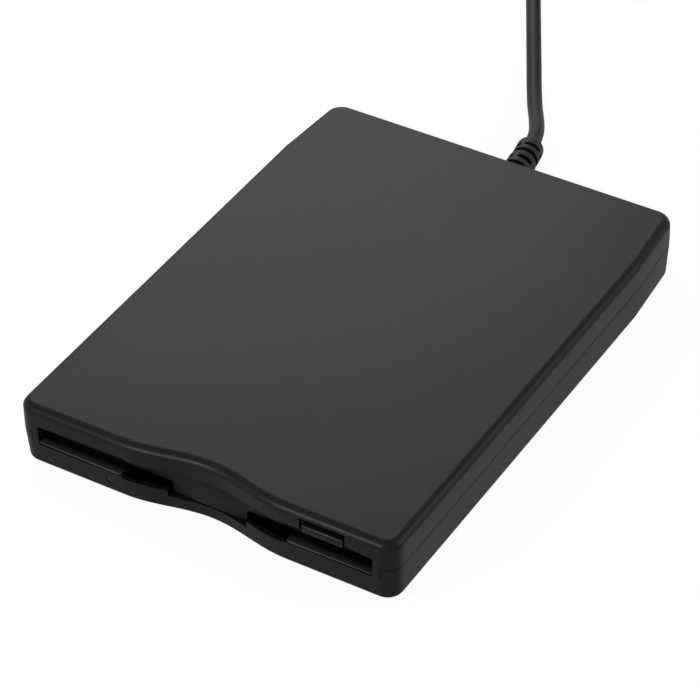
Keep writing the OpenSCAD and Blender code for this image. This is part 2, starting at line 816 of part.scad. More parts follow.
module spindle_rotor() {
    color([0.68, 0.69, 0.7]) at_spindle() {
        difference() {
            translate([0, 0, rotor_top - 0.8]) cylinder(r = rotor_r, h = 0.8);
            translate([0, 0, rotor_top - 2]) cylinder(r = spindle_r - 0.1, h = 3);
        }
        translate([0, 0, rotor_top - 1.3]) difference() {
            cylinder(r = rotor_r, h = 0.6);
            translate([0, 0, -1]) cylinder(r = rotor_r - 2.2, h = 3);
        }
        translate([0, 0, deck_z + 0.05]) cylinder(r = spindle_r, h = disk_z - 0.5 - deck_z - 0.05);
    }
}

module spindle_hub() {
    color([0.3, 0.3, 0.31]) at_spindle() translate([0, 0, rotor_top]) difference() {
        cylinder(r = hub_r, h = hub_t);
        translate([0, 0, -1]) cylinder(r = spindle_r + press_gap, h = 3);
    }
}

module drive_pin() {
    color([0.8, 0.8, 0.82]) at_spindle() translate([hub_r * 0.8, 0, rotor_top + hub_t])
        cylinder(r = hub_pin_r, h = disk_z - 0.5 - rotor_top - hub_t);
}

// ---------- head drive ----------

module head_carriage() {
    color([0.2, 0.2, 0.22]) from_front() difference() {
        union() {
            box([-arm_half, head_y - 3, carriage_z], [arm_half, tower_back, carriage_z + 1.3]);
            box([-8, tower_front, carriage_z], [8, tower_back, arm_bottom - 0.9]);
            both_sides() box([arm_half + 0.3, tower_front, carriage_z], [8, tower_back, arm_axis_z + 1.2]);
            // ear on the guide rod
            box([-rod_x - 3, tower_front, carriage_z], [-8 + skin, tower_back, rod_z + 2.1]);
            // ear on the lead screw
            box([8 - skin, tower_front, lead_z - 1.6], [lead_x + 3, tower_back, lead_z + 2.6]);
        }
        bar_y(tower_front - 1, tower_back + 1, -rod_x, rod_z, rod_r + fit_gap);
        bar_y(tower_front - 1, tower_back + 1, lead_x, lead_z, lead_r + 0.1);
        bar_x(-9, 9, arm_axis_y, arm_axis_z, arm_pin_r + press_gap);
    }
}

module lower_head() {
    color([0.86, 0.85, 0.8]) from_front()
        box([-head_w / 2, head_y - head_w / 2, carriage_z + 1.3],
            [head_w / 2, head_y + head_w / 2, loaded_z + disk_t / 2]);
}

module head_arm() {
    color([0.72, 0.73, 0.75]) from_front() difference() {
        union() {
            box([-arm_half, head_y - 3, arm_bottom], [arm_half, arm_axis_y - 1.6, arm_bottom + arm_t]);
            both_sides() {
                box([3.1, arm_axis_y - 1.6 - skin, arm_bottom], [arm_half, arm_axis_y, arm_bottom + arm_t]);
                bar_x(3.1, arm_half, arm_axis_y, arm_axis_z, arm_barrel_r);
            }
        }
        bar_x(-9, 9, arm_axis_y, arm_axis_z, arm_pin_r + fit_gap);
    }
}

module upper_head() {
    color([0.86, 0.85, 0.8]) from_front()
        box([-head_w / 2, head_y - head_w / 2, cage_roof + 0.3],
            [head_w / 2, head_y + head_w / 2, arm_bottom]);
}

module arm_pin() {
    color([0.8, 0.8, 0.82]) from_front() bar_x(-8, 8, arm_axis_y, arm_axis_z, arm_pin_r);
}

module arm_spring() {
    color([0.75, 0.75, 0.77]) from_front() difference() {
        union() {
            bar_x(-2.8, 2.8, arm_axis_y, arm_axis_z, arm_barrel_r);
            box([-0.3, arm_axis_y - 0.3, arm_bottom - 0.9], [0.3, arm_axis_y + 0.3, arm_axis_z - 0.7]);
        }
        bar_x(-4, 4, arm_axis_y, arm_axis_z, arm_pin_r + 0.15);
    }
}

module guide_rod() {
    color([0.8, 0.8, 0.82]) from_front()
        bar_y(front_tab_y, deck_back - 0.5, -rod_x, rod_z, rod_r);
}

// The thread is turned as shallow rings, which read as its turns
module lead_screw() {
    thread = 0.75;
    l = bracket_y + bracket_t - front_tab_y - bracket_t - 1;
    turns = floor((l - 2) / thread);
    color([0.78, 0.78, 0.8]) from_front()
        translate([lead_x, front_tab_y + bracket_t + 0.5, lead_z]) rotate([-90, 0, 0])
            rotate_extrude() polygon(concat(
                [[0, -bracket_t - 0.3], [lead_tip_r, -bracket_t - 0.3], [lead_tip_r, 0], [lead_r - 0.2, 0]],
                [for (i = [0:turns - 1]) each [[lead_r - 0.2, 1 + i * thread],
                                               [lead_r, 1 + (i + 0.5) * thread]]],
                [[lead_r - 0.2, 1 + turns * thread], [lead_r - 0.2, l + 1], [0, l + 1]]
            ));
}

module stepper_motor() {
    start = bracket_y + bracket_t;
    color([0.6, 0.61, 0.63]) from_front() {
        difference() {
            bar_y(start, start + stepper_l, lead_x, lead_z, stepper_r);
            bar_y(start - 1, start + 1.2, lead_x, lead_z, lead_r + 0.4);
        }
        bar_y(start + stepper_l - skin, start + stepper_l + 0.8, lead_x, lead_z, stepper_r * 0.7);
    }
}

// ---------- boards ----------

// Space between the drive's board and its neighbours
board_side_gap = 1.6;
board_disk_gap = 9.2;
board_rod_gap = 4;
board_edge_gap = 0.6;
drive_board_low = [-side_in + board_side_gap, disk_back + board_disk_gap];
drive_board_high = [-rod_x - board_rod_gap, deck_back - board_edge_gap];
// Height, distance behind the deck, width and end spaces of the lead's board
usb_lift = 1.6;
usb_gap = 2;
usb_w = 8.5;
usb_post_gap = 5;
usb_motor_gap = 4;
usb_peg_inset = 3;
usb_z = floor_top + usb_lift;
usb_y = deck_back + usb_gap;
usb_low_x = -case_screw_x + usb_post_gap;
usb_high_x = lead_x - stepper_r - usb_motor_gap;
board_pegs_x = [usb_low_x + usb_peg_inset, usb_high_x - usb_peg_inset];

module disk_switches() {
    color([0.15, 0.15, 0.17]) from_front() both_sides()
        translate([disk_w / 2 - 7, cage_front + 3, deck_top]) {
            box([-2, -2.5, 0], [2, 2.5, 1.6]);
            translate([0, 0, 1.6 - skin]) cylinder(r = 0.6, h = lip_top - 0.3 - deck_top - 1.6);
        }
}

module drive_board() {
    color([0.1, 0.35, 0.2]) from_front() {
        box([drive_board_low[0], drive_board_low[1], deck_top + board_lift],
            [drive_board_high[0], drive_board_high[1], board_top]);
        for (x = [drive_board_low[0] + 8, drive_board_high[0] - 2])
            for (y = [drive_board_low[1] + 2, drive_board_high[1] - 2])
                translate([x, y, deck_top]) cylinder(r = 1.2, h = board_lift + skin);
    }
}

// A part on a board, by its corner and its size
module chip(at, size) {
    translate([at[0], at[1], 0]) cube(size);
}

// Sizes of the chips, then where they stand from their board's corner
disk_controller = [9, 8, 1.1];
motor_driver = [6, 5.5, 1.1];
usb_controller = [7, 7, 1.2];
crystal = [6, 2.4, 2];
capacitor = [2, 1.5, 0.6];
controller_at = [4, -11];
driver_at = [16, -9];
drive_capacitor_at = [15, -12.5];
usb_controller_at = [12, 1];
crystal_at = [2.5, 5];
usb_capacitor_at = [22, 5.5];

module drive_chips() {
    color([0.08, 0.08, 0.09]) from_front()
        translate([drive_board_low[0], drive_board_high[1], board_top]) {
            chip(controller_at, disk_controller);
            chip(driver_at, motor_driver);
            chip(drive_capacitor_at, capacitor);
        }
}

module usb_board() {
    color([0.1, 0.35, 0.2]) from_front()
        box([usb_low_x, usb_y, usb_z], [usb_high_x, usb_y + usb_w, usb_z + board_t]);
}

module usb_chips() {
    color([0.08, 0.08, 0.09]) from_front() translate([usb_low_x, usb_y, usb_z + board_t]) {
        chip(usb_controller_at, usb_controller);
        chip(crystal_at, crystal);
        chip(usb_capacitor_at, capacitor);
    }
}

module lead_socket() {
    z = usb_z + board_t;
    color([0.88, 0.87, 0.82]) from_front() difference() {
        box([outlet_x + 2, usb_y + 1, z], [outlet_x + 10, usb_y + 4.5, z + 3]);
        box([outlet_x + 2.6, usb_y + 1.6, z + 0.6], [outlet_x + 9.4, usb_y + 5, z + 2.4]);
    }
}

// Flat cable that climbs from the drive's board over to the lead's board
module board_ribbon() {
    low = board_top;
    high = usb_z + board_t;
    x = usb_low_x + 1;
    y0 = drive_board_high[1] - 2;
    color([0.85, 0.85, 0.82]) from_front() translate([x, 0, 0])
        rotate([90, 0, 90]) linear_extrude(7)
            polygon([[y0, low], [y0 + 1.6, low], [y0 + 2.1, low + 0.5], [usb_y, low + 0.5],
                     [usb_y + 0.5, high], [usb_y + 1.8, high], [usb_y + 1.8, high + 0.25],
                     [usb_y + 0.8, high + 0.25], [usb_y + 0.3, low + 0.75], [y0 + 1.9, low + 0.75],
                     [y0 + 1.4, low + 0.25], [y0, low + 0.25]]);
}

// ---------- lead ----------

function along(path, i) =
    let(n = len(path), a = path[max(i - 1, 0)], b = path[min(i + 1, n - 1)]) unit(b - a);

// A tube of the given radii along a path; each ring stands square to the path
module sweep(path, radii, sides) {
    n = len(path);
    points = [
        for (i = [0:n - 1])
            let(t = along(path, i), u = unit(cross([0, 0, 1], t)), v = cross(t, u))
            for (k = [0:sides - 1])
                let(a = 360 * (k + 0.5) / sides)
                path[i] + radii[i] * (cos(a) * u + sin(a) * v)
    ];
    tube_sides = [
        for (i = [0:n - 2], k = [0:sides - 1])
            let(a = i * sides, b = a + sides, j = (k + 1) % sides)
            each [[a + k, b + k, b + j], [a + k, b + j, a + j]]
    ];
    start = [[for (k = [0:sides - 1]) k]];
    end = [[for (k = [sides - 1:-1:0]) (n - 1) * sides + k]];
    polyhedron(points, concat(start, tube_sides, end), convexity = 6);
}

// The strain relief bends to the side and sags a little
function relief_axis(s) =
    [outlet_x + relief_side * pow(s / relief_l, 2), back_y + s, outlet_z + relief_fall * pow(s / relief_l, 2)];

relief_rings = 3;
relief_first = 4.3;   // length of the first ring outside the case
relief_pitch = 6.7;
relief_gap = 1.6;     // length of a groove
relief_edge = 0.3;
relief_end = 19.6;    // where the last ring ends and the sleeve on the cord starts
relief_dome = 1.8;
relief_thin = 0.5;    // the rings get thinner by this over the whole length
groove_r = cord_r + 0.4 * (relief_r - cord_r);
sleeve_r = cord_r + 0.25;

function ring_r(s) = relief_r - relief_thin * s / relief_l;

module strain_relief() {
    grooves = [
        for (i = [0:relief_rings - 2])
            let(s = relief_first + i * relief_pitch)
            each [[s, ring_r(s)], [s + relief_edge, groove_r],
                [s + relief_gap - relief_edge, groove_r], [s + relief_gap, ring_r(s + relief_gap)]]
    ];
    dome = [
        [relief_end - relief_dome, ring_r(relief_end)],
        [relief_end - relief_dome * 0.3, ring_r(relief_end) - relief_dome * 0.2],
        [relief_end, sleeve_r + 0.3], [relief_end + relief_edge, sleeve_r]
    ];
    rings = concat([[0, relief_r]], grooves, dome, [[relief_l, sleeve_r]]);
    color([0.1, 0.1, 0.105]) {
        sweep([for (q = rings) relief_axis(q[0])], [for (q = rings) q[1]], 16);
        // neck in the case's wall and the collar behind it
        bar_y(back_y - wall - draft - 1, back_y + 0.2, outlet_x, outlet_z, relief_r - 0.65);
        bar_y(back_y - wall - draft - 2.6, back_y - wall - draft - 0.9, outlet_x, outlet_z, relief_r + 0.6);
    }
}

cord_end = coil_start - cord_d * coil_dir;
cord_path = concat(cord_route, [[cord_end[0], cord_end[1], coil_z]]);

module usb_cord() {
    color([0.1, 0.1, 0.105])
        sweep(cord_path, [for (p = cord_path) cord_r], 8);
}

// One unbroken spiral: in on the lower layer, then out again on the upper one
coil_steps = ceil(coil_loops * 24);
function coil_point(i) =
    let(
        t = coil_loops * i / coil_steps,
        half = coil_loops / 2,
        r = coil_r - coil_pitch * (half - abs(t - half)),
        climb = min(max((t - half) * 2 + 0.5, 0), 1),
        a = coil_from - 360 * t
    )
    [coil_mid[0] + r * cos(a), coil_mid[1] + r * sin(a),
     coil_z + coil_layer * (3 * climb * climb - 2 * climb * climb * climb)];
coil_turns = [for (i = [0:coil_steps]) coil_point(i)];
coil_path = concat(
    [[cord_end[0], cord_end[1], coil_z]],
    coil_turns,
    [coil_turns[coil_steps] + [cord_d, 0, 0]]
);
coil_gap = min([
    for (i = [0:coil_steps], j = [i + 12:1:coil_steps]) norm(coil_turns[i] - coil_turns[j])
]) - cord_d;
function path_length(path, i = 1) =
    i == len(path) ? 0 : norm(path[i] - path[i - 1]) + path_length(path, i + 1);

module cord_coil() {
    echo(least_gap_in_coil = coil_gap);
    echo(lengths = [path_length(cord_path), path_length(coil_path), path_length(tail_path)],
         coil_middle = coil_mid);
    color([0.1, 0.1, 0.105])
        sweep(coil_path, [for (p = coil_path) cord_r], 8);
}

// A flat tie round both layers of the coil
module coil_tie() {
    low = coil_r - coil_pitch * coil_loops / 2 - cord_r - 0.9;
    high = coil_r + cord_r + 1;
    top = coil_z + coil_layer + cord_r + 0.3;
    color([0.09, 0.09, 0.09]) translate([coil_mid[0], coil_mid[1], 0]) rotate([0, 0, -60])
        translate([0, -2, 0]) difference() {
            box([low - tie_t, 0, 0], [high + tie_t, 4, top + tie_t]);
            box([low, -1, tie_t], [high, 5, top]);
        }
}

tail_path = concat(
    [coil_path[len(coil_path) - 1]],
    [for (p = tail_route) [p[0], plug_start[1], p[2]]],
    [plug_start]
);

module plug_cord() {
    color([0.1, 0.1, 0.105])
        sweep(tail_path, [for (p = tail_path) cord_r], 8);
}

boot_l = 8;
mouth_l = 4;         // how deep the shell sits in the plug's body
window_w = 2.4;      // square windows that a socket's springs catch in
shell_w = 12;
shell_t = 4.5;
shell_l = 18.8;
shell_sheet = 0.35;

module at_plug() {
    translate(plug_start) children();
}

module plug_body() {
    color([0.1, 0.1, 0.105]) at_plug() difference() {
        union() {
            rotate([0, 90, 0]) cylinder(r1 = cord_r + 0.7, r2 = plug_t / 2 - 0.6, h = boot_l + skin);
            translate([boot_l, 0, 0]) rounded_block(plug_l, plug_w, plug_t, 1.6);
        }
        box([boot_l + plug_l - mouth_l, -shell_w / 2 - press_gap, -shell_t / 2 - press_gap],
            [boot_l + plug_l + 1, shell_w / 2 + press_gap, shell_t / 2 + press_gap]);
    }
}

// A block along X whose long edges are rounded
module rounded_block(l, w, t, r) {
    rotate([90, 0, 90]) linear_extrude(l) polygon([
        for (c = [[1, 1, 0], [-1, 1, 90], [-1, -1, 180], [1, -1, 270]])
            each arc([c[0] * (w / 2 - r), c[1] * (t / 2 - r)], r, c[2], c[2] + 90, 5)
    ]);
}

module plug_shell() {
    color([0.75, 0.76, 0.78]) at_plug() translate([boot_l + plug_l - mouth_l + press_gap, 0, 0]) difference() {
        box([0, -shell_w / 2, -shell_t / 2], [shell_l, shell_w / 2, shell_t / 2]);
        box([1, -shell_w / 2 + shell_sheet, -shell_t / 2 + shell_sheet],
            [shell_l + 1, shell_w / 2 - shell_sheet, shell_t / 2 - shell_sheet]);
        for (y = [-1, 1] * (window_w / 2 + 1.7))
            box([12, y - window_w / 2, -plug_t], [12 + window_w, y + window_w / 2, plug_t]);
    }
}

module plug_tongue() {
    color([0.9, 0.9, 0.88]) at_plug() translate([boot_l + plug_l - mouth_l + 1 + 2 * press_gap, 0, 0])
        box([0, -shell_w / 2 + shell_sheet + press_gap, -shell_t / 2 + shell_sheet + press_gap],
            [shell_l - 1.5, shell_w / 2 - shell_sheet - press_gap, -0.05]);
}

top_cover();
bottom_cover();
rubber_feet();
case_screws();
front_frame();
slot_flap();
flap_spring();
eject_button();
light_lens();
light_led();
chassis();
side_plates();
chassis_screws();
disk_cage();
cage_rails();
slide_plate();
slide_springs();
latch_lever();
latch_post();
latch_spring();
spindle_bearing();
motor_coils();
spindle_rotor();
spindle_hub();
drive_pin();
head_carriage();
lower_head();
head_arm();
upper_head();
arm_pin();
arm_spring();
guide_rod();
lead_screw();
stepper_motor();
disk_switches();
drive_board();
drive_chips();
usb_board();
usb_chips();
lead_socket();
board_ribbon();
strain_relief();
usb_cord();
cord_coil();
coil_tie();
plug_cord();
plug_body();
plug_shell();
plug_tongue();
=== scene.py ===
import bmesh
import bpy
import json
import math
from mathutils import Matrix, Vector


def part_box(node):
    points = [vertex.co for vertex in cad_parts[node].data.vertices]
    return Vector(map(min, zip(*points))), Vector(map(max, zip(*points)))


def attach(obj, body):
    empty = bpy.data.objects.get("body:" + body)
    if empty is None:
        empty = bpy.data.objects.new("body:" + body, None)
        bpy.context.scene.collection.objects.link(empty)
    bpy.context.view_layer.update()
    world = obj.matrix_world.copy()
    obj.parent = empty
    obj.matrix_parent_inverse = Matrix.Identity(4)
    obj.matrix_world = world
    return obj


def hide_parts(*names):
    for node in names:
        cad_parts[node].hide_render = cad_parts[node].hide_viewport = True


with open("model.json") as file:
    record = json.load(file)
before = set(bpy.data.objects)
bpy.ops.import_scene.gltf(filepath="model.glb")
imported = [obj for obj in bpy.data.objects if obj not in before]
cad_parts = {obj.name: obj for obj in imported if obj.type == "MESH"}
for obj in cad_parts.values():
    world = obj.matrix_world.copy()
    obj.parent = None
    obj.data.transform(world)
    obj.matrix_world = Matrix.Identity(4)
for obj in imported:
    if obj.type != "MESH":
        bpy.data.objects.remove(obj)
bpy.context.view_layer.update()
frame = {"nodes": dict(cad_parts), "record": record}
nodes = frame["nodes"]
mm = 0.001
near = 0.01  # mm: what lies this close to a plane counts as on it
over = 1     # mm: how far a cutter reaches past what it cuts
least = 0.3  # mm: an edge whose ends are further apart than this along an axis runs that way
print("frame: the drive's CAD nodes are in place")

# The camera, fitted to the photograph; places in mm, farEnd in metres
view = {
    "place": (345.83, -558.3, 542.01), "target": (1.64, -7.47, 10.21), "roll": 1.434,
    "lens": 177.05, "sensor": 36, "farEnd": 20,
}

def makeCamera():
    bpy.ops.object.camera_add(location=[v * mm for v in view["place"]])
    camera = bpy.context.object
    camera.name = "viewCamera"
    look = (Vector(view["target"]) - Vector(view["place"])).normalized()
    turn = look.to_track_quat("-Z", "Y").to_matrix().to_4x4()
    roll = Matrix.Rotation(math.radians(view["roll"]), 4, look)
    camera.matrix_world = Matrix.Translation(Vector(view["place"]) * mm) @ roll @ turn
    camera.data.lens = view["lens"]
    camera.data.sensor_width = view["sensor"]
    camera.data.clip_end = view["farEnd"]
    bpy.context.scene.camera = camera

makeCamera()
bpy.context.scene.view_settings.view_transform = "Standard"
print("camera: set")


# Editing helpers: every place and size they take is in mm
def dropSelection():
    if bpy.context.object and bpy.context.object.mode != "OBJECT":
        bpy.ops.object.mode_set(mode="OBJECT")
    bpy.ops.object.select_all(action="DESELECT")

def focus(obj):
    dropSelection()
    obj.select_set(True)
    bpy.context.view_layer.objects.active = obj

def settle(obj, name=None):
    focus(obj)
    bpy.ops.object.transform_apply(location=True, rotation=True, scale=True)
    if name:
        obj.name = name
        obj.data.name = name
    return obj

def addBlock(name, low, high):
    dropSelection()
    middle = [(a + b) / 2 * mm for a, b in zip(low, high)]
    size = [(b - a) * mm for a, b in zip(low, high)]
    bpy.ops.mesh.primitive_cube_add(size=1, location=middle, scale=size)
    return settle(bpy.context.object, name)

def addRod(name, radius, start, end, sides=48, radiusEnd=None):
    dropSelection()
    a, b = Vector(start) * mm, Vector(end) * mm
    turn = (b - a).to_track_quat("Z", "Y").to_euler()
    if radiusEnd is None:
        bpy.ops.mesh.primitive_cylinder_add(vertices=sides, radius=radius * mm, depth=(b - a).length,
                                            location=(a + b) / 2, rotation=turn)
    else:
        bpy.ops.mesh.primitive_cone_add(vertices=sides, radius1=radius * mm, radius2=radiusEnd * mm,
                                        depth=(b - a).length, location=(a + b) / 2, rotation=turn)
    return settle(bpy.context.object, name)

# Selects in edit mode by place: kind is VERT, EDGE or FACE, and the test gets a vertex's place, the
# places of an edge's two ends, or a face's middle and normal
def pick(obj, kind, test):
    focus(obj)
    bpy.ops.object.mode_set(mode="EDIT")
    bpy.ops.mesh.select_mode(type=kind)
    bpy.ops.mesh.select_all(action="DESELECT")
    bm = bmesh.from_edit_mesh(obj.data)
    for part in {"VERT": bm.verts, "EDGE": bm.edges, "FACE": bm.faces}[kind]:
        if kind == "VERT":
            found = test(part.co / mm)
        elif kind == "EDGE":
            found = test(part.verts[0].co / mm, part.verts[1].co / mm)
        else:
            found = test(part.calc_center_median() / mm, part.normal)
        part.select_set(bool(found))
    bmesh.update_edit_mesh(obj.data)

def both(test):  # for edges with the same at both ends
    return lambda a, b: test(a) and test(b)

def movePicked(x, y, z):
    bpy.ops.transform.translate(value=(x * mm, y * mm, z * mm))

def copyOf(obj, x, y, z):  # with its own mesh, that far away
    focus(obj)
    bpy.ops.object.duplicate(linked=False)
    movePicked(x, y, z)
    return settle(bpy.context.object)

def roundEdges(obj, size, segments, test, **options):
    pick(obj, "EDGE", test)
    bpy.ops.mesh.bevel(offset=size * mm, segments=segments, affect="EDGES", **options)
    bpy.ops.object.mode_set(mode="OBJECT")

def useModifier(obj, kind, **values):
    focus(obj)
    modifier = obj.modifiers.new(kind.lower(), kind)
    for key, value in values.items():
        setattr(modifier, key, value)
    bpy.ops.object.modifier_apply(modifier=modifier.name)

def carve(obj, cutter, operation="DIFFERENCE"):
    useModifier(obj, "BOOLEAN", operation=operation, object=cutter, solver="EXACT")
    bpy.data.objects.remove(cutter)

def hollow(obj, thickness, openSide):
    pick(obj, "FACE", openSide)
    bpy.ops.mesh.delete(type="FACE")
    bpy.ops.object.mode_set(mode="OBJECT")
    useModifier(obj, "SOLIDIFY", thickness=thickness * mm, offset=-1, use_even_offset=True)

def joinAll(name, parts):
    dropSelection()
    for part in parts:
        part.select_set(True)
    bpy.context.view_layer.objects.active = parts[0]
    if len(parts) > 1:
        bpy.ops.object.join()
    return settle(bpy.context.object, name)

# bevel in mm, angle and smooth in degrees
def cleanEdges(obj, bevel=0.0, segments=2, angle=35, smooth=35, weighted=False):
    focus(obj)
    bpy.ops.object.mode_set(mode="EDIT")
    bpy.ops.mesh.select_all(action="SELECT")
    bpy.ops.mesh.remove_doubles(threshold=0.000002)
    bpy.ops.mesh.normals_make_consistent(inside=False)
    bpy.ops.object.mode_set(mode="OBJECT")
    if bevel:
        useModifier(obj, "BEVEL", width=bevel * mm, segments=segments, limit_method="ANGLE",
                    angle_limit=math.radians(angle), use_clamp_overlap=True, miter_outer="MITER_ARC")
    focus(obj)
    bpy.ops.object.shade_smooth_by_angle(angle=math.radians(smooth))
    if weighted:
        useModifier(obj, "WEIGHTED_NORMAL", mode="FACE_AREA", weight=80, keep_sharp=True)
    return obj

def span(side, inner, outer):  # from inner to outer on one side of the middle, the lesser x first
    return sorted((side * inner, side * outer))

def show(obj, body, slot, *stoodFor):
    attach(obj, body)
    if stoodFor:
        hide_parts(*stoodFor)


# Finishes: all procedural, on Object coordinates
def newMaterial(name):
    material = bpy.data.materials.new(name)
    material.use_nodes = True
    tree = material.node_tree
    shader = tree.nodes["Principled BSDF"]
    place = tree.nodes.new("ShaderNodeTexCoord")
    return material, tree, shader, place

def addNoise(tree, place, scale, detail, stretch=None):
    noise = tree.nodes.new("ShaderNodeTexNoise")
    noise.inputs["Scale"].default_value = scale
    noise.inputs["Detail"].default_value = detail
    if stretch:
        mapping = tree.nodes.new("ShaderNodeMapping")
        mapping.inputs["Scale"].default_value = stretch
        tree.links.new(place.outputs["Object"], mapping.inputs["Vector"])
        tree.links.new(mapping.outputs["Vector"], noise.inputs["Vector"])
    else:
        tree.links.new(place.outputs["Object"], noise.inputs["Vector"])
    return noise.outputs["Fac"]

def around(color, spread):  # a little darker and a little lighter
    return [c * (1 - spread) for c in color], [c * (1 + spread) for c in color]

def addTint(tree, shader, source, low, high, start=0.35, end=0.65):
    node = tree.nodes.new("ShaderNodeValToRGB")
    node.color_ramp.elements[0].position = start
    node.color_ramp.elements[1].position = end
    node.color_ramp.elements[0].color = (*low, 1)
    node.color_ramp.elements[1].color = (*high, 1)
    tree.links.new(source, node.inputs["Fac"])
    tree.links.new(node.outputs["Color"], shader.inputs["Base Color"])

noiseMiddle = (0.3, 0.7)  # where most of a noise's values lie

def addRoughness(tree, shader, source, low, high):
    node = tree.nodes.new("ShaderNodeMapRange")
    node.inputs["From Min"].default_value, node.inputs["From Max"].default_value = noiseMiddle
    node.inputs["To Min"].default_value = low
    node.inputs["To Max"].default_value = high
    tree.links.new(source, node.inputs["Value"])
    tree.links.new(node.outputs["Result"], shader.inputs["Roughness"])

def addBump(tree, shader, source, strength, depth):
    bump = tree.nodes.new("ShaderNodeBump")
    bump.inputs["Strength"].default_value = strength
    bump.inputs["Distance"].default_value = depth * mm
    tree.links.new(source, bump.inputs["Height"])
    tree.links.new(bump.outputs["Normal"], shader.inputs["Normal"])

plasticGrain = {"cloudScale": 45, "cloudDetail": 4, "detail": 2, "bump": 0.6}

# grainScale is per metre, grainDepth in mm; specular is the shader's own level, 0.5 as plain plastic has
def mouldedPlastic(name, color, spread, rough, grainScale, grainDepth, specular=0.5):
    material, tree, shader, place = newMaterial(name)
    cloud = addNoise(tree, place, plasticGrain["cloudScale"], plasticGrain["cloudDetail"])
    grain = addNoise(tree, place, grainScale, plasticGrain["detail"])
    addTint(tree, shader, cloud, *around(color, spread))
    addRoughness(tree, shader, grain, *rough)
    addBump(tree, shader, grain, plasticGrain["bump"], grainDepth)
    shader.inputs["Specular IOR Level"].default_value = specular
    return material

steelGrain = {"scale": 60, "detail": 5, "cloudScale": 70, "cloudDetail": 3, "bump": 0.25, "depth": 0.02}

# stretch draws the streaks out along one axis
def sheetSteel(name, color, rough, stretch, spread=0.12):
    material, tree, shader, place = newMaterial(name)
    streak = addNoise(tree, place, steelGrain["scale"], steelGrain["detail"], stretch)
    cloud = addNoise(tree, place, steelGrain["cloudScale"], steelGrain["cloudDetail"])
    addTint(tree, shader, cloud, *around(color, spread))
    addRoughness(tree, shader, streak, *rough)
    addBump(tree, shader, streak, steelGrain["bump"], steelGrain["depth"])
    shader.inputs["Metallic"].default_value = 1.0
    return material

board = {
    "lacquer": (0.012, 0.1, 0.035, 1), "lacquerTwo": (0.016, 0.13, 0.045, 1), "track": (0.03, 0.2, 0.07, 1),
    "scale": 420, "trackWidth": 0.03, "rough": (0.25, 0.36), "grainScale": 500, "bump": 0.3, "depth": 0.03,
}

def coatedBoard():
    material, tree, shader, place = newMaterial("coatedBoard")
    tracks = tree.nodes.new("ShaderNodeTexBrick")
    tracks.inputs["Scale"].default_value = board["scale"]
    tracks.inputs["Color1"].default_value = board["lacquer"]
    tracks.inputs["Color2"].default_value = board["lacquerTwo"]
    tracks.inputs["Mortar"].default_value = board["track"]
    tracks.inputs["Mortar Size"].default_value = board["trackWidth"]
    tree.links.new(place.outputs["Object"], tracks.inputs["Vector"])
    tree.links.new(tracks.outputs["Color"], shader.inputs["Base Color"])
    addRoughness(tree, shader, addNoise(tree, place, board["grainScale"], 2), *board["rough"])
    addBump(tree, shader, tracks.outputs["Fac"], board["bump"], board["depth"])
    return material

lensLook = {
    "dark": (0.007, 0.0073, 0.0065), "pale": (0.01, 0.0104, 0.009), "rough": (0.2, 0.3), "grainScale": 900,
    "clear": 0.1, "specular": 0.2,
}

def frostedLens():
    material, tree, shader, place = newMaterial("frostedLens")
    grain = addNoise(tree, place, lensLook["grainScale"], 2)
    addTint(tree, shader, grain, lensLook["dark"], lensLook["pale"])
    addRoughness(tree, shader, grain, *lensLook["rough"])
    shader.inputs["Transmission Weight"].default_value = lensLook["clear"]
    shader.inputs["Specular IOR Level"].default_value = lensLook["specular"]
    return material

finishes = {
    "case_top": mouldedPlastic("satinCaseTop", (0.0068, 0.0068, 0.007), 0.06, (0.35, 0.41), 1500,
                               0.01, 0.12),
    "case_bottom": mouldedPlastic("mouldedCaseBottom", (0.0064, 0.0066, 0.0058), 0.08, (0.38, 0.46), 1100,
                                  0.012, 0.1),
    "inner_plastic": mouldedPlastic("plainInnerPlastic", (0.028, 0.028, 0.029), 0.1, (0.3, 0.42), 900,
                                    0.02, 0.4),
    "flap_plastic": mouldedPlastic("flapPlastic", (0.006, 0.006, 0.0063), 0.08, (0.38, 0.46), 1000,
                                   0.012, 0.1),
    "button_plastic": mouldedPlastic("buttonPlastic", (0.0065, 0.0065, 0.0068), 0.06, (0.3, 0.38), 1400,
                                     0.012, 0.14),
    "rubber": mouldedPlastic("softRubber", (0.011, 0.011, 0.0112), 0.1, (0.5, 0.62), 1300, 0.03, 0.2),
    "cord": mouldedPlastic("cordJacket", (0.0085, 0.0087, 0.0083), 0.08, (0.4, 0.48), 1200, 0.02, 0.12),
    "lens": frostedLens(),
    "zinc_steel": sheetSteel("zincSheet", (0.5, 0.51, 0.52), (0.3, 0.46), (1, 9, 1)),
    "turned_steel": sheetSteel("turnedSteel", (0.6, 0.6, 0.61), (0.16, 0.28), (1, 40, 1)),
    "spring_steel": sheetSteel("springWire", (0.45, 0.45, 0.47), (0.22, 0.34), (1, 60, 1)),
    "screw_steel": sheetSteel("platedScrew", (0.36, 0.36, 0.38), (0.24, 0.38), (14, 14, 1)),
    "plug_metal": sheetSteel("nickelShell", (0.62, 0.62, 0.63), (0.16, 0.27), (14, 1, 1), 0.05),
    "brass": sheetSteel("sinteredBearing", (0.56, 0.42, 0.19), (0.35, 0.5), (4, 4, 4)),
    "copper": sheetSteel("varnishedWinding", (0.55, 0.22, 0.09), (0.25, 0.4), (1, 1, 90)),
    "board_green": coatedBoard(),
    "chip_black": mouldedPlastic("chipPlastic", (0.012, 0.012, 0.013), 0.1, (0.5, 0.62), 1600, 0.02),
    "ceramic": mouldedPlastic("groundCeramic", (0.7, 0.68, 0.61), 0.04, (0.2, 0.3), 1500, 0.01),
    "pale_plastic": mouldedPlastic("palePlastic", (0.72, 0.71, 0.66), 0.04, (0.3, 0.4), 1200, 0.015),
}

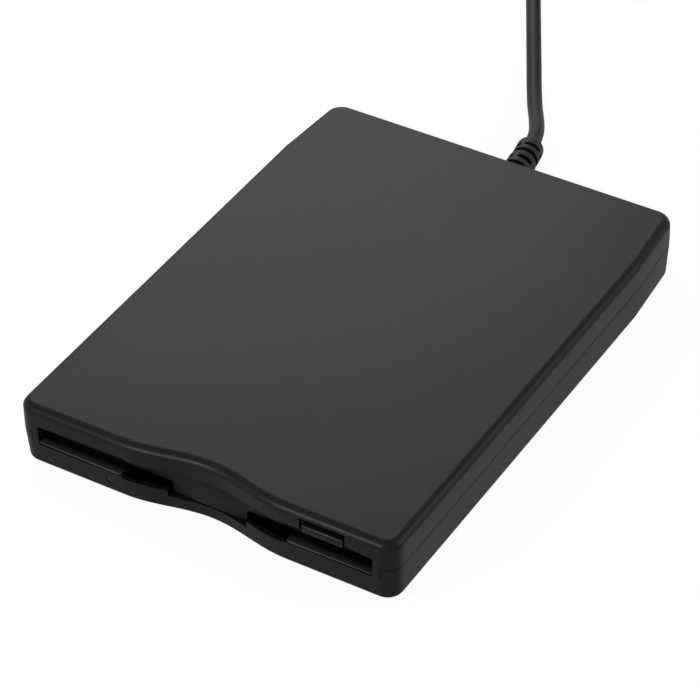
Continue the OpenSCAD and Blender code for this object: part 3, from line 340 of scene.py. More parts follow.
# The slot's ledge strips get painted shade: dark at the back under the cover's overhang, lighter towards
# the front; the two y places are where that starts and ends
ledgeShade = {
    "inner": (0.004, 0.004, 0.0042), "outer": (0.032, 0.032, 0.0335), "innerY": -69.0, "outerY": -71.4,
    "rough": (0.3, 0.42), "grainScale": 900, "bump": 0.6, "depth": 0.015, "specular": 0.2,
}

def makeLedgeShadePlastic():
    material, tree, shader, place = newMaterial("paintedShadeLedgePlastic")
    axes = tree.nodes.new("ShaderNodeSeparateXYZ")
    tree.links.new(place.outputs["Object"], axes.inputs[0])
    depth = tree.nodes.new("ShaderNodeMapRange")
    depth.inputs["From Min"].default_value = ledgeShade["innerY"] * mm
    depth.inputs["From Max"].default_value = ledgeShade["outerY"] * mm
    tree.links.new(axes.outputs["Y"], depth.inputs["Value"])
    # painted shade: the tint runs from near black at innerY to light grey at outerY
    addTint(tree, shader, depth.outputs["Result"], ledgeShade["inner"], ledgeShade["outer"], 0.0, 1.0)
    grain = addNoise(tree, place, ledgeShade["grainScale"], 2)
    addRoughness(tree, shader, grain, *ledgeShade["rough"])
    addBump(tree, shader, grain, ledgeShade["bump"], ledgeShade["depth"])
    shader.inputs["Specular IOR Level"].default_value = ledgeShade["specular"]
    return material

# Painted shade: a near-black copy of the inner plastic, for faces that lie in shade behind the slot and
# over the button's lip
paintedShadePlastic = mouldedPlastic("paintedShadeInnerPlastic", (0.0025, 0.0025, 0.0026), 0.1, (0.5, 0.62), 900,
                               0.02, 0.03)
ledgeShadePlastic = makeLedgeShadePlastic()

def finish(obj, slot):
    obj.data.materials.clear()
    obj.data.materials.append(finishes[slot])

for entry in frame["record"]["subparts"]:
    finish(nodes[entry["node"]], entry["material_slot"])
print("finishes: on every CAD node")


# The lead: one cord from the strain relief through the coil to the plug
lead = {
    "radius": 2.1, "curveSteps": 4, "roundSteps": 5,
    "route": [
        (-3, 94, 7.5), (-4.6, 98.4, 6.6), (-8.8, 106.4, 4.3), (-13.4, 114, 2.6), (-18, 122, 2.1),
        (-23, 131, 2.1), (-28, 140, 2.1), (-33, 149, 2.1), (-38, 158, 2.1), (-43, 167, 2.1),
        (-48, 176, 2.1), (-53, 185, 2.4),
    ],
    "coilStart": (-58.5, 194.9), "heading": (-5, 9), "coilRadius": 27.5, "fullTurns": 3, "endAngle": 90,
    "turnSteps": 24, "pitch": 4.8, "layer": 4.7, "coilHeight": 2.7,
    "tail": ((-23, 6.9), (-17.5, 5)), "plugX": -12, "plugHeight": 4,
}

def leadPoints():
    heading = Vector(lead["heading"]).normalized()
    start = Vector(lead["coilStart"])
    radius, diameter = lead["coilRadius"], 2 * lead["radius"]
    middle = start + radius * Vector((heading.y, -heading.x))
    fromAngle = math.degrees(math.atan2(start.y - middle.y, start.x - middle.x)) + 360
    loops = lead["fullTurns"] + (fromAngle - lead["endAngle"]) / 360
    steps = math.ceil(loops * lead["turnSteps"])
    points = [Vector(p) for p in lead["route"]]
    before = start - diameter * heading
    points.append(Vector((before.x, before.y, lead["coilHeight"])))
    for i in range(steps + 1):
        turn = loops * i / steps
        reach = radius - lead["pitch"] * (loops / 2 - abs(turn - loops / 2))
        climb = min(max((turn - loops / 2) * 2 + 0.5, 0), 1)  # up to the second layer, in half a turn
        angle = math.radians(fromAngle - 360 * turn)
        points.append(Vector((middle.x + reach * math.cos(angle), middle.y + reach * math.sin(angle),
                              lead["coilHeight"] + lead["layer"] * (3 * climb ** 2 - 2 * climb ** 3))))
    top = points[-1]
    points.append(top + Vector((diameter, 0, 0)))
    for x, z in (*lead["tail"], (lead["plugX"], lead["plugHeight"])):
        points.append(Vector((x, top.y, z)))
    return points, middle, loops

def makeCord(points):
    dropSelection()
    bpy.ops.curve.primitive_bezier_curve_add(location=(0, 0, 0))
    cord = bpy.context.object
    cord.name = "leadCord"
    curve = cord.data
    curve.splines.clear()
    spline = curve.splines.new("BEZIER")
    spline.bezier_points.add(len(points) - 1)
    for knot, point in zip(spline.bezier_points, points):
        knot.co = point * mm
        knot.handle_left_type = knot.handle_right_type = "AUTO"
    curve.dimensions = "3D"
    curve.resolution_u = lead["curveSteps"]
    curve.bevel_depth = lead["radius"] * mm
    curve.bevel_resolution = lead["roundSteps"]
    curve.use_fill_caps = True
    return cord

cordPoints, coilMiddle, coilLoops = leadPoints()
leadCord = makeCord(cordPoints)
finish(leadCord, "cord")

# The plug, in mm: body, then shell with its two windows and its seam
plug = {
    "bootLength": 8, "bodyLength": 24, "width": 16, "thick": 8, "sideRound": 1.6, "endRound": 0.5,
    "backInset": 0.9, "backRise": 0.7,
    "shellSeat": 4, "shellWidth": 12, "shellThick": 4.5, "shellLength": 18.8, "shellRound": 0.5,
    "sheet": 0.35, "windowY": 2.9, "windowHalf": 1.2, "window": (12, 14.4),
    "shellGap": 0.02, "seamHalf": 0.06, "seamStart": 1, "seamUnder": 0.1, "seamDepth": 0.15,
}
plugY, plugZ = cordPoints[-1].y, lead["plugHeight"]
bodyStart = lead["plugX"] + plug["bootLength"]
# grip is the grooves on the flat sides, boot the soft neck that the cord goes into
grip = {"count": 6, "first": 5, "pitch": 2.1, "width": 0.9, "depth": 0.35, "half": 5.2}
boot = {"wall": 0.75, "endThin": 0.7, "lap": 0.4, "rings": 3, "first": 1.6, "pitch": 2, "width": 1.1,
        "grow": 0.22, "rise": 0.32, "sides": 40}

def makePlugBody():
    x0, x1, y, z = lead["plugX"], bodyStart, plugY, plugZ
    end = x1 + plug["bodyLength"]
    w, t = plug["width"] / 2, plug["thick"] / 2
    body = addBlock("plugBody", (x1, y - w, z - t), (end, y + w, z + t))
    roundEdges(body, plug["sideRound"], 5, lambda a, b: abs(a.x - b.x) > least)
    roundEdges(body, plug["endRound"], 3,
               lambda a, b: abs(a.x - b.x) < near and min(a.x, b.x) > end - 10 * near)
    pick(body, "FACE", lambda c, n: n.x < -0.9)
    bpy.ops.mesh.inset(thickness=plug["backInset"] * mm)
    movePicked(-plug["backRise"], 0, 0)
    bpy.ops.object.mode_set(mode="OBJECT")
    for k in range(grip["count"]):  # grip grooves on both flat sides
        gx = x1 + grip["first"] + k * grip["pitch"]
        for side in (-1, 1):
            face = z + side * t
            carve(body, addBlock("groove", (gx, y - grip["half"], face - grip["depth"]),
                                 (gx + grip["width"], y + grip["half"], face + grip["depth"])))
    halfWidth, halfThick = plug["shellWidth"] / 2, plug["shellThick"] / 2
    carve(body, addBlock("mouth", (end - plug["shellSeat"], y - halfWidth, z - halfThick),
                         (end + over, y + halfWidth, z + halfThick)))
    cleanEdges(body, 0.12, 2, 50)
    start = lead["radius"] + boot["wall"]
    rings = [addRod("plugBoot", start, (x0, y, z), (x1 - boot["lap"], y, z), boot["sides"],
                    t - boot["endThin"])]
    for k in range(boot["rings"]):
        rx = x0 + boot["first"] + k * boot["pitch"]
        r = start + (k + 1) * boot["grow"] + boot["rise"]
        rings.append(addRod("bootRing", r, (rx, y, z), (rx + boot["width"], y, z), boot["sides"]))
    return joinAll("plugBody", [body, cleanEdges(joinAll("plugBoot", rings), 0.15, 2, 50)])

plugBody = makePlugBody()
finish(plugBody, "rubber")

def makePlugShell():
    x0 = bodyStart + plug["bodyLength"] - plug["shellSeat"] + plug["shellGap"]
    x1, y, z = x0 + plug["shellLength"], plugY, plugZ
    w, t = plug["shellWidth"] / 2, plug["shellThick"] / 2
    shell = addBlock("plugShell", (x0, y - w, z - t), (x1, y + w, z + t))
    roundEdges(shell, plug["shellRound"], 4, lambda a, b: abs(a.x - b.x) > least)
    hollow(shell, plug["sheet"], lambda c, n: n.x > 0.9)
    low, high = plug["window"]
    half, seam = plug["windowHalf"], plug["seamHalf"]
    for dy in (-plug["windowY"], plug["windowY"]):  # the windows that a socket's springs catch in
        carve(shell, addBlock("window", (x0 + low, y + dy - half, z - t - over),
                              (x0 + high, y + dy + half, z + t + over)))
    carve(shell, addBlock("seam", (x0 + plug["seamStart"], y - seam, z - t - plug["seamUnder"]),
                          (x1 + over, y + seam, z - t + plug["seamDepth"])))
    return cleanEdges(shell, 0.07, 2, 50)

plugShell = makePlugShell()
finish(plugShell, "plug_metal")

# the channels in the tongue and the contact strips in them
lanes = {
    "at": (-3.5, -1.25, 1.25, 3.5), "half": 0.65, "floor": 0.28, "first": 6, "stripFirst": 6.1,
    "stripHalf": 0.5, "stripLow": 0.3, "stripHigh": 0.16, "stripShort": 0.8, "stripEdge": 0.2,
    "seat": 3, "gap": 0.04, "tongueShort": 1.5, "tongueTop": 0.1, "room": 0.03,
}

def makePlugTongue():
    x0 = bodyStart + plug["bodyLength"] - lanes["seat"] + lanes["gap"]
    x1 = x0 + plug["shellLength"] - lanes["tongueShort"]
    y, z = plugY, plugZ
    w = plug["shellWidth"] / 2 - plug["sheet"] - lanes["room"]
    t = plug["shellThick"] / 2 - plug["sheet"] - lanes["room"]
    tongue = addBlock("plugTongue", (x0, y - w, z - t), (x1, y + w, z - lanes["tongueTop"]))
    for dy in lanes["at"]:
        carve(tongue, addBlock("channel", (x0 + lanes["first"], y + dy - lanes["half"], z - lanes["floor"]),
                               (x1 + over, y + dy + lanes["half"], z + over)))
    cleanEdges(tongue, 0.1, 2, 50)
    first, *others = lanes["at"]
    low = (x0 + lanes["stripFirst"], y + first - lanes["stripHalf"], z - lanes["stripLow"])
    high = (x1 - lanes["stripShort"], y + first + lanes["stripHalf"], z - lanes["stripHigh"])
    strip = addBlock("contact", low, high)
    roundEdges(strip, 0.08, 2, both(lambda p: p.z > z - lanes["stripEdge"]))
    return tongue, joinAll("plugContacts", [strip] + [copyOf(strip, 0, dy - first, 0) for dy in others])

plugTongue, plugContacts = makePlugTongue()
finish(plugTongue, "pale_plastic")
finish(plugContacts, "brass")

tie = {"width": 4, "thick": 0.5, "turn": -60, "round": 2.2,
       "innerRoom": 0.9, "outerRoom": 1, "topRoom": 0.3}

def makeTie():
    inner = lead["coilRadius"] - lead["pitch"] * coilLoops / 2 - lead["radius"] - tie["innerRoom"]
    outer = lead["coilRadius"] + lead["radius"] + tie["outerRoom"]
    top = lead["coilHeight"] + lead["layer"] + lead["radius"] + tie["topRoom"]
    t, w = tie["thick"], tie["width"] / 2
    strap = addBlock("coilTie", (inner - t, -w, 0), (outer + t, w, top + t))
    roundEdges(strap, tie["round"], 6, lambda a, b: abs(a.y - b.y) > least)
    pick(strap, "FACE", lambda c, n: abs(n.y) > 0.9)
    bpy.ops.mesh.inset(thickness=t * mm)
    bpy.ops.mesh.delete(type="FACE")
    # what is left is a band with its rims folded in: the inside is closed between them
    bpy.ops.mesh.select_mode(type="EDGE")
    bpy.ops.mesh.select_all(action="DESELECT")
    bpy.ops.mesh.select_non_manifold(extend=False)
    bpy.ops.mesh.bridge_edge_loops()
    bpy.ops.object.mode_set(mode="OBJECT")
    strap.data.transform(Matrix.Translation((coilMiddle.x * mm, coilMiddle.y * mm, 0))
                         @ Matrix.Rotation(math.radians(tie["turn"]), 4, "Z"))
    return cleanEdges(strap, 0.1, 2, 40)

coilTie = makeTie()
finish(coilTie, "rubber")

# Modelled straight along +Y from the case's back wall, then bent along its line
relief = {
    "start": (1, 71.5, 9.5), "length": 22.5, "side": -4, "fall": -2, "radius": 4.0, "thin": 0.5,
    "coreRadius": 2.5, "coreFrom": -3.5, "coreShort": 1,
    "sleeveRadius": 2.12, "sleeveLap": 1.5, "cordLap": 0.6, "runIn": (-6, -4, -2),
    "neck": (-3.4, 0.3), "neckThin": 0.7, "flange": (-5, -3.3), "flangeRise": 0.6,
    "rings": ((0.25, 4.1), (6.0, 10.8), (12.75, 19.5)), "dome": 1.4,
    "slots": 4, "slotWidth": 1.5, "slotReach": 2.2, "slotDepth": 1.5, "slotRound": 0.6,
    "slotSpots": (1.7, 8.3, 15.0), "slotTurn": 27,
}

def reliefRod(name, radius, start, end, sides=48):
    return addRod(name, radius, (0, start, 0), (0, end, 0), sides)

def makeReliefRing(low, high, spot):
    r = relief["radius"] - relief["thin"] * (low + high) / 2 / relief["length"]
    ring = reliefRod("ring", r, low, high, 64)
    half, reach = relief["slotWidth"] / 2, relief["slotReach"]
    for side in range(relief["slots"]):
        cut = addBlock("slot", (-reach, spot - half, r - relief["slotDepth"]),
                       (reach, spot + half, r + over))
        roundEdges(cut, relief["slotRound"], 4, lambda a, b: abs(a.z - b.z) > least)
        turn = math.radians(relief["slotTurn"] + 360 / relief["slots"] * side)
        cut.data.transform(Matrix.Rotation(turn, 4, "Y"))
        carve(ring, cut)
    if high == relief["rings"][-1][1]:
        roundEdges(ring, relief["dome"], 6, both(lambda p: p.y > high - 10 * near))
    return cleanEdges(ring, 0.14, 2, 45)

def bendRelief(body):
    length, start = relief["length"], Vector(relief["start"])
    points = [start + Vector((0, y, 0)) for y in relief["runIn"]]  # inside the case it stays straight
    for i in range(int(length * 2) + 4):
        s = i / 2 / length
        points.append(start + Vector((relief["side"] * s * s, i / 2, relief["fall"] * s * s)))
    line = bpy.data.curves.new("reliefLine", "CURVE")
    line.dimensions = "3D"
    line.twist_mode = "Z_UP"
    spline = line.splines.new("POLY")
    spline.points.add(len(points) - 1)
    for spot, point in zip(spline.points, points):
        spot.co = (*((point - points[0]) * mm), 1)
    guideLine = bpy.data.objects.new("reliefLine", line)
    bpy.context.collection.objects.link(guideLine)
    focus(body)
    movePicked(0, -relief["runIn"][0], 0)
    settle(body)
    useModifier(body, "CURVE", object=guideLine, deform_axis="POS_Y")
    bpy.data.objects.remove(guideLine)
    focus(body)
    bpy.ops.transform.translate(value=points[0] * mm)
    settle(body)

def makeRelief():
    length, tip = relief["length"], relief["rings"][-1][1]
    pieces = [
        reliefRod("core", relief["coreRadius"], relief["coreFrom"], tip - relief["coreShort"]),
        reliefRod("sleeve", relief["sleeveRadius"], tip - relief["sleeveLap"], length + relief["cordLap"]),
        reliefRod("neck", relief["radius"] - relief["neckThin"], *relief["neck"]),
        reliefRod("flange", relief["radius"] + relief["flangeRise"], *relief["flange"]),
    ]
    for (low, high), spot in zip(relief["rings"], relief["slotSpots"]):
        pieces.append(makeReliefRing(low, high, spot))
    body = joinAll("strainRelief", pieces)
    focus(body)
    bpy.ops.object.mode_set(mode="EDIT")
    for i in range(1, int(length)):  # cut every millimetre, so that it bends smoothly
        bpy.ops.mesh.select_all(action="SELECT")
        bpy.ops.mesh.bisect(plane_co=(0, i * mm, 0), plane_no=(0, 1, 0))
    bpy.ops.object.mode_set(mode="OBJECT")
    bendRelief(body)
    bpy.ops.object.shade_smooth_by_angle(angle=math.radians(35))
    return body

strainRelief = makeRelief()
finish(strainRelief, "rubber")

show(leadCord, "drive", "cord", "usb_cord", "cord_coil", "plug_cord")
show(plugBody, "drive", "rubber", "plug_body")
show(plugShell, "drive", "plug_metal", "plug_shell")
show(plugTongue, "drive", "pale_plastic", "plug_tongue")
show(plugContacts, "drive", "brass")
show(coilTie, "drive", "rubber", "coil_tie")
show(strainRelief, "drive", "rubber", "strain_relief")
print("lead: coil, tie, plug and strain relief made")


# The case: two shells that meet at the parting height
case = {
    "half": 52, "front": -71.5, "back": 71.5, "shoulder": 48.5, "shoulderHalf": 51.8, "backHalf": 50,
    "frontCorner": 4.1, "backCorner": 4.3, "cornerSteps": 8,
    "recessWidth": 45, "recessDepth": 3.3, "recessSteps": 28,
    "wall": 1.4, "top": 18.2, "parting": 10.5, "gap": 0.2, "underside": 1.0, "draft": 0.5,
    "topRound": 2.2, "topSteps": 7, "baseRound": 1.0, "baseSteps": 4, "lipRound": 0.75, "lipSteps": 4,
}
slotPlace = {
    "half": 46.2, "top": 12.8, "stepHalf": 48.1, "stepRoom": 0.12, "sill": 7.2, "recessSill": 6.7,
    "notch": 4.9, "tongueHalf": 10.3, "notchRoom": 0.6,
    "endLap": 0.5, "endSetBack": 0.02, "endLift": 0.1, "endRise": 0.6, "behind": 0.4, "behindSill": 2,
    "openTop": 12,
}
outlet = {"x": 1, "z": 9.5, "radius": 3.4, "topDepth": 3, "bottomDepth": 4}

def recessAt(x):
    return case["recessDepth"] * (1 + math.cos(2 * math.pi * x / case["recessWidth"])) / 2

def frontFace(x):  # where the front stands at x
    return case["front"] + (0 if abs(x) > case["recessWidth"] / 2 else recessAt(x))

def caseBlank(name, low, high):  # a block with the case's outline, between two heights
    front, back = case["front"], case["back"]
    block = addBlock(name, (-case["half"], front, low), (case["half"], back, high))
    pick(block, "FACE", lambda c, n: True)
    bpy.ops.mesh.bisect(plane_co=(0, case["shoulder"] * mm, 0), plane_no=(0, 1, 0))
    for y, half in ((case["shoulder"], case["shoulderHalf"]), (back, case["backHalf"])):
        pick(block, "VERT", lambda c: abs(c.y - y) < near)
        bpy.ops.transform.resize(value=(half / case["half"], 1, 1), center_override=(0, 0, 0))
    for y, radius in ((front, case["frontCorner"]), (back, case["backCorner"])):
        roundEdges(block, radius, case["cornerSteps"],
                   lambda a, b: abs(a.y - y) < near and abs(b.y - y) < near and abs(a.z - b.z) > least)
    reach, steps = case["recessWidth"] / 2, case["recessSteps"]
    places = [reach * (2 * i / steps - 1) for i in range(steps + 1)]
    for x in places:
        pick(block, "FACE", lambda c, n: n.y < -0.99)
        bpy.ops.mesh.bisect(plane_co=(x * mm, 0, 0), plane_no=(1, 0, 0))
    for x in places[1:-1]:
        pick(block, "VERT", lambda c: abs(c.x - x) < 2 * near and c.y < front + 2 * near)
        movePicked(0, recessAt(x), 0)
    bpy.ops.object.mode_set(mode="OBJECT")
    return block

def carveOutlet(cover, start):  # the strain relief's hole, from start mm inside the back
    x, z, back = outlet["x"], outlet["z"], case["back"]
    carve(cover, addRod("outlet", outlet["radius"], (x, back - start, z), (x, back + over, z)))

# low to high is the head, lip the height of its front edge; stem and peg places are from the front
button = {
    "x": 32.8, "width": 11, "depth": 3.1, "gap": 0.6, "rise": 1, "low": 12.3, "high": 15.5,
    "lip": 14.5, "lipBack": 2, "lipFall": 0.15, "lipEdge": 0.1, "lipFold": 0.3, "lean": 0.2,
    "lipCut": 0.25, "lowRound": 0.5,
    "stemInset": 1.2, "stem": (3.0, 12.5), "stemHeight": (13.3, 14.2),
    "pegRadius": 1.2, "pegAt": 9.5, "pegHeight": (14.1, 15.2),
}

def makeTopCover():
    top, front, wall = case["top"], case["front"], case["wall"]
    cover = caseBlank("topCover", case["parting"] + case["gap"] / 2, top)
    roundEdges(cover, case["topRound"], case["topSteps"], both(lambda p: p.z > top - near))
    hollow(cover, wall, lambda c, n: n.z < -0.9)
    half, slotTop, sill = slotPlace["half"], slotPlace["top"], slotPlace["sill"]
    for side in (-1, 1):  # slot ends that reach down to the lower shell
        x0, x1 = span(side, half - slotPlace["endLap"], slotPlace["stepHalf"])
        end = addBlock("slotEnd", (x0, front + slotPlace["endSetBack"], sill + slotPlace["endLift"]),
                       (x1, front + wall, slotTop + slotPlace["endRise"]))
        carve(cover, end, "UNION")
    carve(cover, addBlock("slot", (-half, front - over, sill - over),
                          (half, front + case["recessDepth"] + wall + slotPlace["behind"], slotTop)))
    reach = button["width"] / 2 + button["gap"]
    carve(cover, addBlock("buttonOpening", (button["x"] - reach, front - over, slotTop - over),
                          (button["x"] + reach, front + wall + over, button["high"] + button["rise"])))
    carveOutlet(cover, outlet["topDepth"])
    cleanEdges(cover)
    # the slot's top edge rolls in on each side of the finger recess
    recess = case["recessWidth"] / 2
    roundEdges(cover, case["lipRound"], case["lipSteps"],
               both(lambda p: abs(p.z - slotTop) < 2 * near and p.y < frontFace(p.x) + 6 * near
                    and recess - near < abs(p.x) < half + near), clamp_overlap=False)
    return cleanEdges(cover, 0.16, 2, 50, 40, weighted=True)

topCover = makeTopCover()
finish(topCover, "case_top")
show(topCover, "drive", "case_top", "top_cover")
print("case: top cover made")

screwHoles = {"places": ((32, 62.5), (46.2, -51.5), (46.2, 36.5)), "headRadius": 2.3, "headDepth": 1.0}
feet = {
    "x": 42, "y": (-58.5, 58.5), "radius": 4.5, "height": 1.0, "seat": 0.4, "seatRoom": 0.2,
    "round": 0.4, "rim": 0.8, "hollow": 0.12,
}
light = {
    "x": -26.2, "z": 4.8, "radius": 1.1, "room": 0.05, "windowDepth": 4, "face": 0.55, "back": 2.4,
    "collarBack": 3, "collarRise": 0.5, "dome": ((0.35, 0.13), (0.3, 0.06)), "sides": 40,
}

def lightRod(name, radius, start, end):
    x, z = light["x"], light["z"]
    return addRod(name, radius, (x, start, z), (x, end, z), light["sides"])

def makeBottomCover():
    base = case["underside"]
    cover = caseBlank("bottomCover", base, case["parting"] - case["gap"] / 2)
    pick(cover, "VERT", lambda c: c.z < base + near)
    bpy.ops.transform.resize(value=((case["half"] - case["draft"]) / case["half"],
                                    (case["back"] - case["draft"]) / case["back"], 1),
                             center_override=(0, 0, 0))
    roundEdges(cover, case["baseRound"], case["baseSteps"], both(lambda p: p.z < base + near))
    hollow(cover, case["wall"], lambda c, n: n.z > 0.9)
    front, openTop = case["front"] - over, slotPlace["openTop"]
    deep = case["front"] + case["recessDepth"] + case["wall"] + slotPlace["behindSill"]
    widths = {"sill": slotPlace["stepHalf"] + slotPlace["stepRoom"], "recessSill": case["recessWidth"] / 2,
              "notch": slotPlace["tongueHalf"] + slotPlace["notchRoom"]}
    for name, half in widths.items():
        carve(cover, addBlock(name, (-half, front, slotPlace[name]), (half, deep, openTop)))
    carve(cover, lightRod("window", light["radius"] + light["room"], front, front + light["windowDepth"]))
    carveOutlet(cover, outlet["bottomDepth"])
    x, mouth = outlet["x"], outlet["radius"]
    carve(cover, addBlock("outletTop", (x - mouth, case["back"] - outlet["bottomDepth"], outlet["z"]),
                          (x + mouth, case["back"] + over, openTop)))
    for x in (-feet["x"], feet["x"]):
        for y in feet["y"]:
            carve(cover, addRod("footSeat", feet["radius"] + feet["seatRoom"], (x, y, 0),
                                (x, y, base + feet["seat"])))
    for x, y in screwHoles["places"]:
        for side in (-1, 1):
            carve(cover, addRod("screwSeat", screwHoles["headRadius"], (side * x, y, 0),
                                (side * x, y, base + screwHoles["headDepth"]), 40))
    return cleanEdges(cover, 0.15, 2, 50, 40, weighted=True)

bottomCover = makeBottomCover()
finish(bottomCover, "case_bottom")
show(bottomCover, "drive", "case_bottom", "bottom_cover")
print("case: bottom cover made")

def makeFeet():
    x, (front, back) = feet["x"], feet["y"]
    foot = addRod("foot", feet["radius"], (-x, front, 0), (-x, front, feet["height"] + feet["seat"]))
    roundEdges(foot, feet["round"], 4, both(lambda p: p.z < near))
    pick(foot, "FACE", lambda c, n: n.z < -0.95 and c.z < near)
    bpy.ops.mesh.inset(thickness=feet["rim"] * mm)
    bpy.ops.mesh.inset(thickness=feet["hollow"] * mm)
    movePicked(0, 0, feet["hollow"])
    bpy.ops.object.mode_set(mode="OBJECT")
    others = [copyOf(foot, dx, dy, 0) for dx, dy in ((0, back - front), (2 * x, 0), (2 * x, back - front))]
    return cleanEdges(joinAll("rubberFeet", [foot] + others))

rubberFeet = makeFeet()
finish(rubberFeet, "rubber")
show(rubberFeet, "drive", "rubber", "rubber_feet")

def makeLens():
    y = case["front"]
    lens = lightRod("lightLens", light["radius"], y + light["face"], y + light["back"])
    pick(lens, "FACE", lambda c, n: n.y < -0.9)
    for inset, out in light["dome"]:
        bpy.ops.mesh.inset(thickness=inset * mm)
        movePicked(0, -out, 0)
    bpy.ops.object.mode_set(mode="OBJECT")
    collar = lightRod("lensCollar", light["radius"] + light["collarRise"], y + light["back"],
                      y + light["collarBack"])
    return cleanEdges(joinAll("lightLens", [lens, collar]), 0, 2, 50, 50)

lightLens = makeLens()
finish(lightLens, "lens")
show(lightLens, "drive", "lens", "light_lens")

def makeButton():
    x, y, w = button["x"], case["front"], button["width"] / 2
    low, high, lip, back = button["low"], button["high"], button["lip"], button["lipBack"]
    head = addBlock("ejectButton", (x - w, y, low), (x + w, y + button["depth"], high))
    pick(head, "FACE", lambda c, n: True)
    edge = button["lipEdge"]
    for z in (lip - button["lipCut"], lip - edge, lip):
        bpy.ops.mesh.select_all(action="SELECT")
        bpy.ops.mesh.bisect(plane_co=(0, 0, z * mm), plane_no=(0, 0, 1))
    # what is above the lip stands back, with the lip's edge turned over
    for z, inward, up in ((lip, back, -button["lipFall"]), (lip - edge, button["lipFold"], edge),
                          (high, back + button["lean"], 0)):
        pick(head, "VERT", lambda c: abs(c.z - z) < near and c.y < y + near)
        movePicked(0, inward, up)
    roundEdges(head, button["lowRound"], 4, both(lambda p: p.z < low + near and p.y < y + near))
    inset, (start, end), (stemLow, stemHigh) = button["stemInset"], button["stem"], button["stemHeight"]
    stem = addBlock("stem", (x - w + inset, y + start, stemLow), (x + w - inset, y + end, stemHigh))
    at, (pegLow, pegHigh) = y + button["pegAt"], button["pegHeight"]
    peg = addRod("peg", button["pegRadius"], (x, at, pegLow), (x, at, pegHigh), 32)
    cleanEdges(head, 0.28, 3, 40, 40)
    return joinAll("ejectButton", [head, cleanEdges(stem, 0.15), cleanEdges(peg, 0.1)])

ejectButton = makeButton()
finish(ejectButton, "button_plastic")
# Painted shade: the shelf over the lip and the slope behind it take the near-black second material, as they
# lie in shade
ejectButton.data.materials.append(paintedShadePlastic)
shelf = {"under": 0.2, "from": 0.45, "to": 3}  # the dark shelf over the lip, from the front's plane
pick(ejectButton, "FACE", lambda c, n: c.z > button["lip"] - shelf["under"]
     and case["front"] + shelf["from"] < c.y < case["front"] + shelf["to"])
ejectButton.active_material_index = 1
bpy.ops.object.material_slot_assign()
bpy.ops.object.mode_set(mode="OBJECT")
show(ejectButton, "ejector", "button_plastic", "eject_button")
print("front: feet, light and eject button made")


# spans are the stretches with a link to the hinge, rods the two ends of the hinge's rod
flap = {
    "half": 45.6, "y": -68.0, "thick": 1.1, "bottom": 8.6, "top": 12.5,
    "tongueLow": 5.35, "tongueRound": 0.7,
    "hingeY": -65.7, "hingeZ": 14.2, "rod": 0.8, "barrel": 0.95, "link": 1.1, "lap": 0.2,
    "spans": [(-42.2, -25.6), (-10.3, 10.3), (39.9, 45.6)], "rods": [(-48.2, 25.7), (39.9, 48.2)],
}

def hingeRod(name, radius, x0, x1):
    y, z = flap["hingeY"], flap["hingeZ"]
    return addRod(name, radius, (x0, y, z), (x1, y, z), 32)

def makeFlap():
    y, t, top, lap = flap["y"], flap["thick"], flap["top"], flap["lap"]
    tongue, hingeY, rod = slotPlace["tongueHalf"], flap["hingeY"], flap["rod"]
    plate = addBlock("slotFlap", (-flap["half"], y, flap["bottom"]), (flap["half"], y + t, top))
    carve(plate, addBlock("tongue", (-tongue, y, flap["tongueLow"]), (tongue, y + t, top)), "UNION")
    # the corners where the tongue leaves the plate are rounded
    roundEdges(plate, flap["tongueRound"], 4,
               lambda a, b: abs(abs(a.x) - tongue) < 2 * near and abs(a.x - b.x) < 2 * near
               and abs(a.y - b.y) > least and a.z < flap["bottom"] + 2 * near)
    cleanEdges(plate, 0.22, 3, 50, 35)
    parts = [plate]
    for x0, x1 in flap["spans"]:
        link = addBlock("link", (x0, y + t - lap, top - flap["link"]), (x1, hingeY + rod, top))
        parts.append(cleanEdges(link, 0.15))
        web = addBlock("web", (x0, hingeY - rod, top - lap), (x1, hingeY + rod, flap["hingeZ"]))
        parts.append(cleanEdges(web, 0.1))
        parts.append(cleanEdges(hingeRod("barrel", flap["barrel"], x0, x1), 0.1, 2, 50))
    for x0, x1 in flap["rods"]:
        parts.append(cleanEdges(hingeRod("rod", rod, x0, x1), 0.12, 2, 50))
    return joinAll("slotFlap", parts)

slotFlap = makeFlap()
finish(slotFlap, "flap_plastic")
show(slotFlap, "flap", "flap_plastic", "slot_flap")

# The frame behind the slot, with the ledges that a disk slides in over
guide = {
    "cheekIn": 46.4, "cheekOut": 48.2, "cheekFront": 1.7, "cheekBack": 2.4, "cheekRise": 1.6,
    "boreRoom": 0.05, "riserY": -66.0, "riserThick": 1, "barFront": 0.5, "barBack": 5.4, "barHigh": 3.6,
    "ledgeLow": 7.45, "ledgeRise": 0.3, "ledgeHigh": 8.0, "ledgeEnd": 22.9, "ledgeOut": 46.1,
    "ledgeRound": 0.9, "ledgeLap": 0.2, "stripDepth": 2.6, "stripBack": 0.1, "riserShort": 0.1,
    "backHigh": 7.8, "bridgeLap": 0.9, "bridgeEnd": 0.05, "legLap": 0.3, "lap": 0.5, "hair": 0.01,
}

